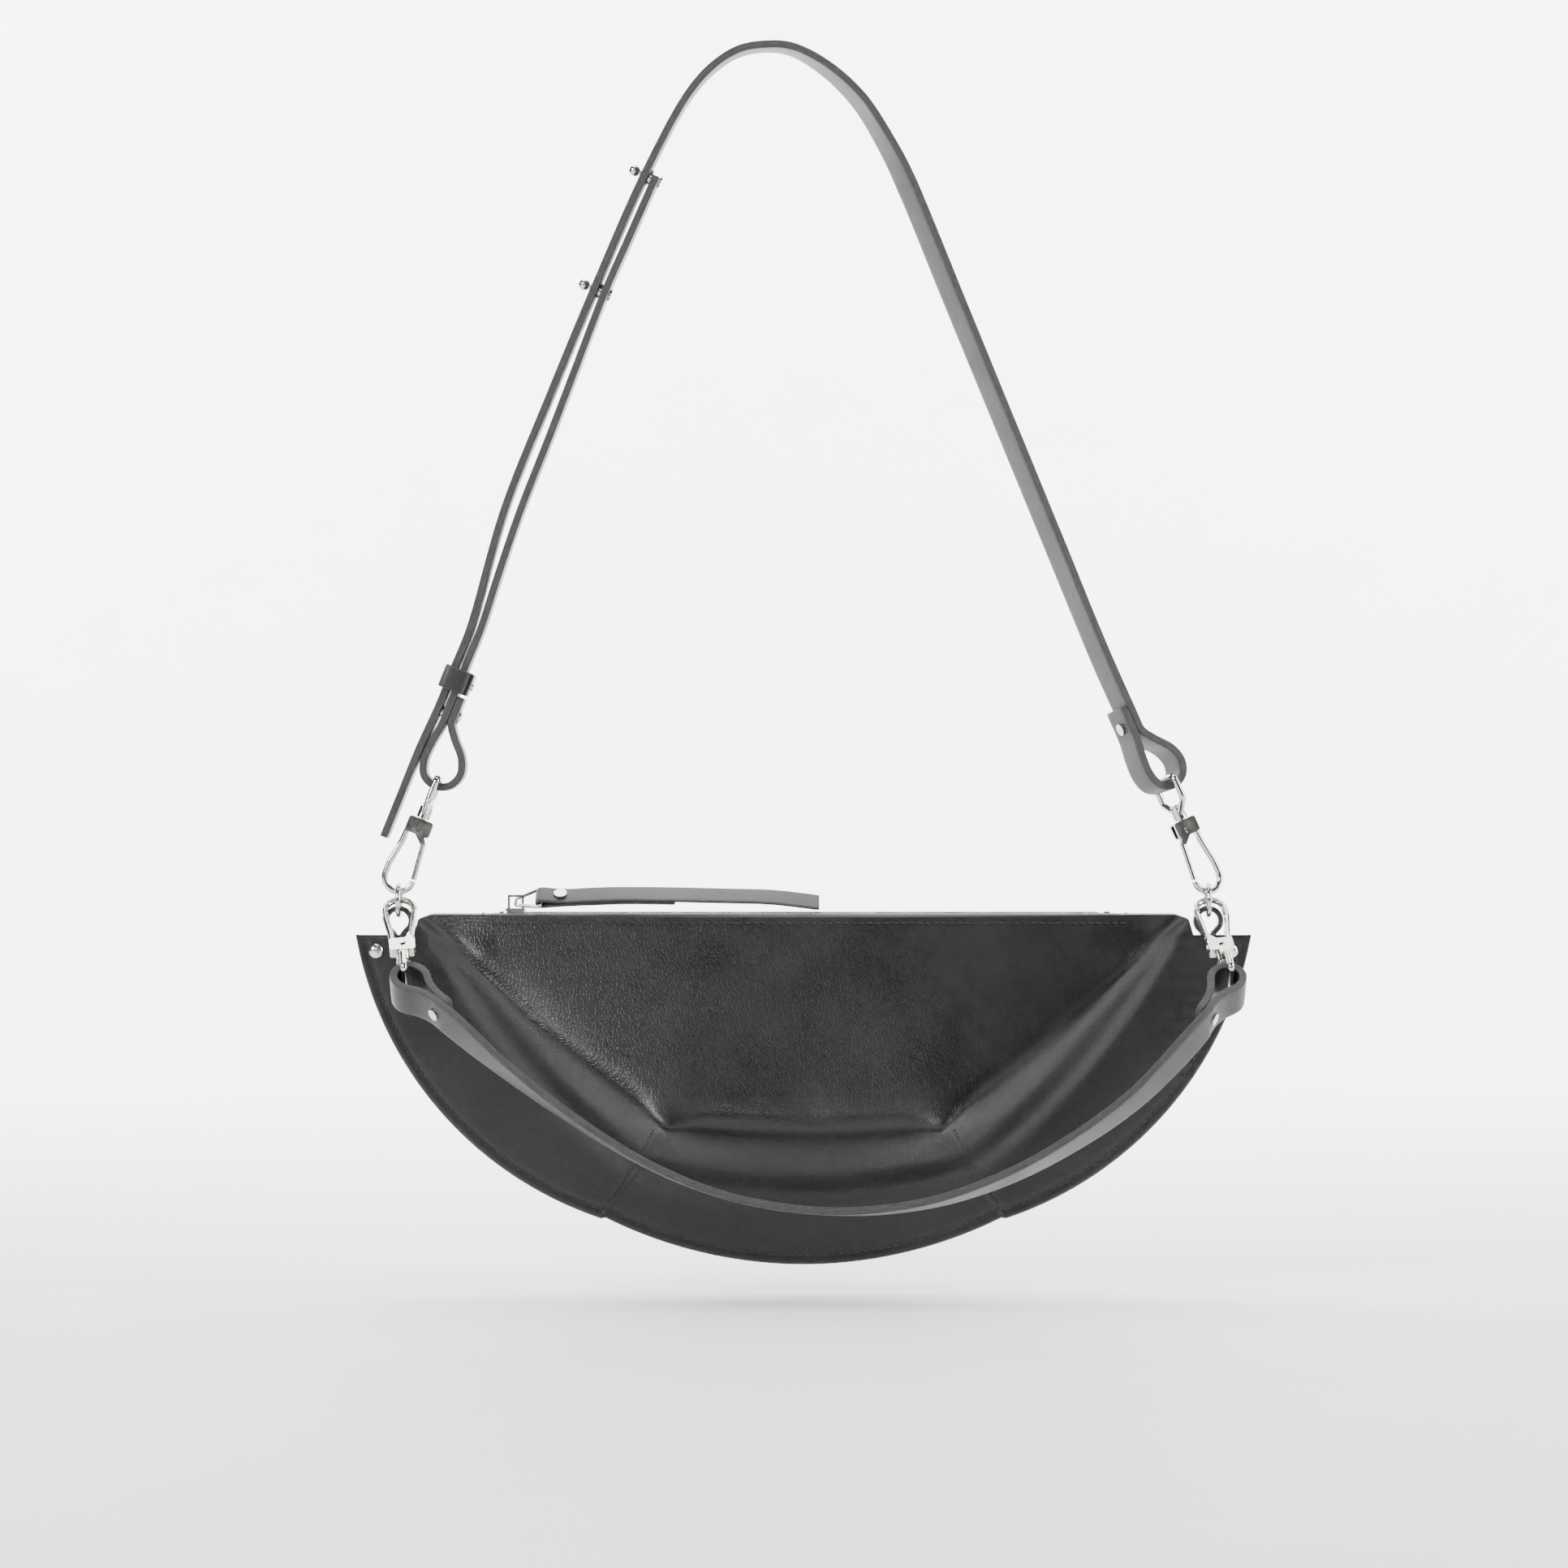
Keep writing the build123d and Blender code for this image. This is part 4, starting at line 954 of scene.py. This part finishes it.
def adjuster_strap(run):
    """Strap beside the left leg, held by two studs, that ends in the left loop."""
    samples, _ = smooth_path(run, 1.0)
    along = np.gradient(samples, axis=0)
    along /= np.linalg.norm(along, axis=1)[:, None]

    def beside(height, offset):
        index = int(np.argmin(np.abs(samples[:, 2] - height)))
        inward = -np.cross(along[index], [0, 1, 0])
        if inward[0] < 0:
            inward = -inward
        return samples[index] + inward * offset

    stud_layer = STRAP_THICKNESS + 1.2 + 0.4
    drop = ring_z / MM
    points = [beside(0.1173 * drop, stud_layer)]
    for share, bow in ((0.1473, 0), (0.2128, 0.1), (0.2810, 0), (0.3683, 1.0), (0.4502, 1.8),
                       (0.5402, 1.8), (0.6221, 0.4)):
        points.append(beside(share * drop, stud_layer + bow))
    points += [left_place(FAR_LAYER, 62), left_place(FAR_LAYER, 46)]
    points += [left_place(*spot) for spot in reversed(LOOP_ROUTE)]
    band("adjuster", points, [(0, 1, 0)] * len(points), "strap", "strap_leather",
         ["adjuster_strap"])


adjuster_strap(left_run)


def rounded_box(name, size, centre, axes, bevel, material):
    """Bevelled block with its own directions; size and centre in mm."""
    bm = bmesh.new()
    bmesh.ops.create_cube(bm, size=1.0)
    bmesh.ops.scale(bm, vec=Vector(size), verts=bm.verts)
    bmesh.ops.bevel(bm, geom=list(bm.edges), offset=bevel, segments=3, profile=0.5,
                    affect="EDGES")
    frame3 = Matrix([list(axis) for axis in axes]).transposed()
    for vertex in bm.verts:
        vertex.co = (frame3 @ vertex.co + Vector(centre)) * MM
    mesh = bpy.data.meshes.new(name)
    bm.to_mesh(mesh)
    bm.free()
    made = bpy.data.objects.new(name, mesh)
    bpy.context.scene.collection.objects.link(made)
    mesh.materials.append(material)
    mesh.polygons.foreach_set("use_smooth", [True] * len(mesh.polygons))
    return made


def strap_keeper():
    """Leather loop, lapped on its inner side, that holds the tail against the left leg."""
    wall, room, height = 1.6, 0.4, 10.0
    stack_low = FAR_LAYER - LAYER - 0.9 - STRAP_THICKNESS / 2
    stack_high = FAR_LAYER + STRAP_THICKNESS / 2
    middle = left_place((stack_low + stack_high) / 2, LAP_END + 1.2 + height / 2)
    half_a = (stack_high - stack_low) / 2 + room + wall / 2
    half_b = STRAP_WIDTH / 2 + room + wall / 2
    corner = 1.6
    side_dir = np.cross(left_up, left_across)
    ring = []
    for quarter, (sign_a, sign_b) in enumerate(((1, 1), (-1, 1), (-1, -1), (1, -1))):
        for angle in (10, 45, 80):
            turn = math.radians(angle + 90 * quarter)
            ring.append(middle
                        + left_across * (sign_a * (half_a - corner) + corner * math.cos(turn))
                        + side_dir * (sign_b * (half_b - corner) + corner * math.sin(turn)))
    ring.append(ring[0])
    band("keeper_loop", ring, [left_up] * len(ring), "keeper", "strap_leather", ["keeper"],
         width=height, thickness=wall, spacing=0.8, closed=True)
    lap = rounded_box("keeper_lap", (wall - 0.1, 2 * half_b - 3.0, height - 0.3),
                      middle + left_across * (half_a + wall), (left_across, side_dir, left_up),
                      0.4, STRAP_LEATHER)
    place(lap, "keeper", "strap_leather")


strap_keeper()

HANDLE_RADIUS = 6.6
HALF_LAYER = LAYER / 2
HANDLE_LAP = 24.0
HANDLE_DIAGONAL = HANDLE_RADIUS * math.sqrt(0.5)
HANDLE_ROUTE = [
    (HALF_LAYER, HANDLE_LAP), (HALF_LAYER, 16.5), (3.2, 9.5), (6.2, 3.4), (HANDLE_RADIUS, 0),
    (HANDLE_DIAGONAL, -HANDLE_DIAGONAL), (0, -HANDLE_RADIUS),
    (-HANDLE_DIAGONAL, -HANDLE_DIAGONAL), (-HANDLE_RADIUS, 0), (-6.2, 3.4), (-3.2, 9.5),
    (-HALF_LAYER, 16.5), (-HALF_LAYER, HANDLE_LAP),
]


def handle_strap():
    """Short strap that hangs in front of the bag between the two lower hooks."""
    loops = {}
    for side, pull in (("left", 52), ("right", 54)):
        bar, across, wide, shank = hook_frame(f"lower_{side}")
        pull = math.radians(pull)
        along = across * math.cos(pull) + shank * math.sin(pull)
        upward = across * math.sin(pull) - shank * math.cos(pull)
        drop = HANDLE_RADIUS - STRAP_THICKNESS / 2 - 0.3 - EYE_WIRE / 2
        centre = bar + along * drop
        loops[side] = [centre + upward * a + along * u for a, u in HANDLE_ROUTE]
        if side == "left":
            handle_width = wide
    front = DEPTH + 6.5
    drape = [(-0.742, 0.515, 30), (-0.582, 0.676, 16), (-0.381, 0.844, 9), (-0.181, 0.951, 6),
             (0.06, 1.0, 6), (0.281, 0.978, 12), (0.461, 0.905, 20), (0.622, 0.797, 28),
             (0.80, 0.63, 38)]
    middle = [np.array([bag_x / MM + ring_half_span / MM * x, -front,
                        ring_z / MM - HANDLE_SAG * z]) for x, z, _ in drape]
    widths = [np.array([0, -math.cos(math.radians(t)), math.sin(math.radians(t))])
              for _, _, t in drape]
    points = loops["left"] + middle + list(reversed(loops["right"]))
    ends = [handle_width] * len(HANDLE_ROUTE)
    band("handle", points, ends + widths + ends, "handle", "strap_leather", ["handle_strap"])


handle_strap()


# ---- Leather tongues that carry the rings ----------------------------------------------
def ring_tab(side, ring):
    centre = np.array(ring) / MM - [0, 0, 8.8]
    radius = 5.35
    points = [centre + [-1.1, 0, -9.5], centre + [-1.5, 0, -6.6]]
    for angle in range(-145, 146, 29):
        turn = math.radians(angle)
        points.append(centre + [radius * math.sin(turn), 0, radius * math.cos(turn)])
    points += [centre + [1.5, 0, -6.6], centre + [1.1, 0, -9.5]]
    band(f"ring_tongue_{side}", points, [(0, 1, 0)] * len(points), "bag", "bag_leather",
         [f"ring_tab_{side}"], width=6.0, thickness=2.1, corner=0.5, spacing=0.6,
         materials=[TAB_LEATHER, TAB_LEATHER])


ring_tab("left", ring_left)
ring_tab("right", ring_right)


# ---- Zip ---------------------------------------------------------------------------------
def zip_tape(side, sign):
    """Woven tape with a corded edge under the teeth."""
    low, high = (np.array(corner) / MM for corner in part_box(f"zip_tape_{side}"))
    columns = 180
    profile = [(5.0, -2.0), (3.4, -2.05), (2.4, -2.0), (2.15, -1.5), (2.1, -0.9), (1.8, -0.55),
               (1.45, -0.9), (1.4, -1.6), (1.45, -2.5), (3.0, -2.6), (5.0, -2.55)]
    vertices, faces = [], []
    for x in np.linspace(low[0], high[0], columns):
        for y, z in profile:
                vertices.append((x * MM, sign * y * MM,
                             top_z + (z + 0.04 * math.sin(x * 2.1)) * MM))
    count = len(profile)
    for column in range(columns - 1):
        for k in range(count):
            a, b = column * count + k, column * count + (k + 1) % count
            faces.append((a, b, b + count, a + count))
    faces.append(tuple(range(count)))
    faces.append(tuple(range((columns - 1) * count, columns * count))[::-1])
    made = mesh_object(f"zip_tape_woven_{side}", vertices, faces, [TAPE])
    bm = bmesh.new()
    bm.from_mesh(made.data)
    bmesh.ops.recalc_face_normals(bm, faces=bm.faces)
    bm.to_mesh(made.data)
    bm.free()
    place(made, "bag", "zip_tape", f"zip_tape_{side}")


def zip_teeth(side, sign):
    """Separate metal teeth, each clamped on its tape's cord, half a pitch from the other row."""
    low, high = (np.array(corner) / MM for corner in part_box(f"zip_teeth_{side}"))
    phase = 0 if side == "front" else TEETH_PITCH / 2
    count = int((high[0] - low[0]) / TEETH_PITCH)
    made = bmesh.new()
    tooth = bmesh.new()
    # Jaws round the cord, then a neck and a rounded head that meets the other row
    outline = [(2.35, 0.62), (1.2, 0.62), (0.5, 0.42), (-0.25, 0.52), (-0.8, 0.40),
               (-0.8, -0.40), (-0.25, -0.52), (0.5, -0.42), (1.2, -0.62), (2.35, -0.62)]
    base = (low[2] + high[2]) / 2 - top_z / MM
    half = (high[2] - low[2]) / 2 - 0.05
    ring = [tooth.verts.new((x, sign * y, -half)) for y, x in outline]
    bottom = tooth.faces.new(ring)
    grown = bmesh.ops.extrude_face_region(tooth, geom=[bottom])
    bmesh.ops.translate(tooth, vec=(0, 0, 2 * half),
                        verts=[v for v in grown["geom"] if isinstance(v, bmesh.types.BMVert)])
    bmesh.ops.recalc_face_normals(tooth, faces=tooth.faces)
    bmesh.ops.bevel(tooth, geom=list(tooth.edges), offset=0.16, segments=2, profile=0.6,
                    affect="EDGES")
    template = bpy.data.meshes.new("tooth")
    tooth.to_mesh(template)
    tooth.free()
    for number in range(count):
        x = low[0] + phase + 0.5 + TEETH_PITCH * number
        if x > high[0] - 0.4:
            continue
        before = len(made.verts)
        made.from_mesh(template)
        made.verts.ensure_lookup_table()
        for vertex in made.verts[before:]:
            co = vertex.co
            vertex.co = Vector(((x + co.x) * MM, co.y * MM, top_z + (base + co.z) * MM))
    mesh = bpy.data.meshes.new(f"teeth_{side}")
    made.to_mesh(mesh)
    made.free()
    bpy.data.meshes.remove(template)
    row = bpy.data.objects.new(f"teeth_{side}", mesh)
    bpy.context.scene.collection.objects.link(row)
    mesh.materials.append(TEETH_METAL)
    mesh.polygons.foreach_set("use_smooth", [True] * len(mesh.polygons))
    row.data.update()
    place(row, "bag", "zip_metal", f"zip_teeth_{side}")


for side_name, sign in (("front", -1), ("back", 1)):
    zip_tape(side_name, sign)
    zip_teeth(side_name, sign)


def pull_strip():
    """Long folded leather pull: a face layer and a shorter one under it."""
    tilt = math.radians(34)
    axis = np.array(joints["pull_lift"]["pos_m"], float) / MM
    rise = math.radians(12)
    reach = 11.0
    fold = axis + np.array([reach * math.cos(rise), 0, 0]) + reach * math.sin(rise) * np.array(
        [0, -math.sin(tilt), math.cos(tilt)])
    layers = np.array([0, -math.sin(tilt), math.cos(tilt)])
    wide = np.array([0, math.cos(tilt), math.sin(tilt)])
    half = 0.6
    profile = [(120, -2.6), (100, 0.2), (78, 1.0), (56, 1.6), (34, 1.8), (20, 1.3), (12, 0.75),
               (6, 1.05), (2, 1.55), (0, 1.6), (-1.15, 1.15), (-1.6, 0), (-1.15, -1.15),
               (0, -1.6), (2, -1.5), (6, -1.1), (12, -0.65), (24, -0.1), (34, 0.35),
               (46, 0.4), (58, 0.15)]
    points = [fold + np.array([x, 0, 0]) + layers * y for x, y in profile]
    band("zip_pull_leather", points, [wide] * len(points), "zip_pull", "strap_leather",
         ["pull_strip"], width=10.0, thickness=2 * half, corner=0.35, spacing=1.0)
    strip = bpy.data.objects["zip_pull_leather"]
    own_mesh(strip)


pull_strip()


# ---- Metal and other pieces that keep their CAD shape --------------------------------------
SOFT_NODES = ("front_panel", "back_panel", "main_strap", "adjuster_strap", "keeper",
              "handle_strap", "ring_tab_left", "ring_tab_right", "zip_tape_front",
              "zip_tape_back", "zip_teeth_front", "zip_teeth_back", "pull_strip")
for name, thing in frame["nodes"].items():
    if name in SOFT_NODES:
        continue
    thing.data.materials.clear()
    if name == "zip_stops":
        thing.data.materials.append(TEETH_METAL)
    elif name.startswith("gate_spring"):
        thing.data.materials.append(SPRING_STEEL)
    else:
        thing.data.materials.append(NICKEL)


# ---- Floor, light and camera ---------------------------------------------------------------
def area_light(name, place_at, aim, size, power, height=None):
    light = bpy.data.lights.new(name, "AREA")
    light.energy = power
    light.shape = "RECTANGLE"
    light.size = size
    light.size_y = height or size
    lamp = bpy.data.objects.new(name, light)
    bpy.context.scene.collection.objects.link(lamp)
    lamp.location = place_at
    lamp.rotation_euler = (Vector(aim) - Vector(place_at)).to_track_quat("-Z", "Y").to_euler()
    return lamp


def studio():
    """Pale paper sweep under and behind the bag, with soft light from above and both sides."""
    floor_z = -0.5355
    profile = [(-3.0, 0.0)] + [(2.2 + 0.8 * math.sin(math.radians(t)),
                                0.8 - 0.8 * math.cos(math.radians(t)))
                               for t in range(0, 91, 9)] + [(3.0, 4.0)]
    vertices, faces = [], []
    for x in (-5.0, 5.0):
        vertices += [(x, y, floor_z + z) for y, z in profile]
    count = len(profile)
    for k in range(count - 1):
        faces.append((k, k + 1, k + 1 + count, k + count))
    faces = [face[::-1] for face in faces]
    sweep = mesh_object("paper_sweep", vertices, faces, [PAPER])
    world = bpy.context.scene.world or bpy.data.worlds.new("studio")
    bpy.context.scene.world = world
    world.use_nodes = True
    background = world.node_tree.nodes["Background"]
    background.inputs["Color"].default_value = (1, 1, 1, 1)
    background.inputs["Strength"].default_value = 0.10
    middle = (bag_x, 0, -0.38)
    area_light("overhead", (-0.1, -0.1, 1.2), middle, 0.9, 10)
    area_light("key", (-1.6, -1.5, 0.7), middle, 0.8, 80, 1.0)
    area_light("front_card", (-0.3, -2.6, 0.9), middle, 0.9, 14, 0.7)
    area_light("right_strip", (1.5, -0.35, 0.15), middle, 0.25, 36, 1.2)
    for side in (-1, 1):
        area_light(f"wall_wash_{side + 1}", (side * 1.6, 1.3, 0.9), (side * 0.3, 3.0, 0.3), 1.2, 220)
    area_light("floor_wash", (0.0, 0.9, 1.4), (0, 1.3, -0.5), 1.6, 60)


studio()
camera_data = bpy.data.cameras.new("photo_camera")
camera = bpy.data.objects.new("photo_camera", camera_data)
bpy.context.scene.collection.objects.link(camera)
CAMERA_DISTANCE = 2.0
FRAME_WIDTH = 0.6762
camera_data.sensor_width = 36.0
camera_data.lens = 36.0 * CAMERA_DISTANCE / FRAME_WIDTH
camera.location = (0.00735, -CAMERA_DISTANCE, -0.3164)
camera.rotation_euler = (math.pi / 2, 0, 0)
bpy.context.scene.camera = camera
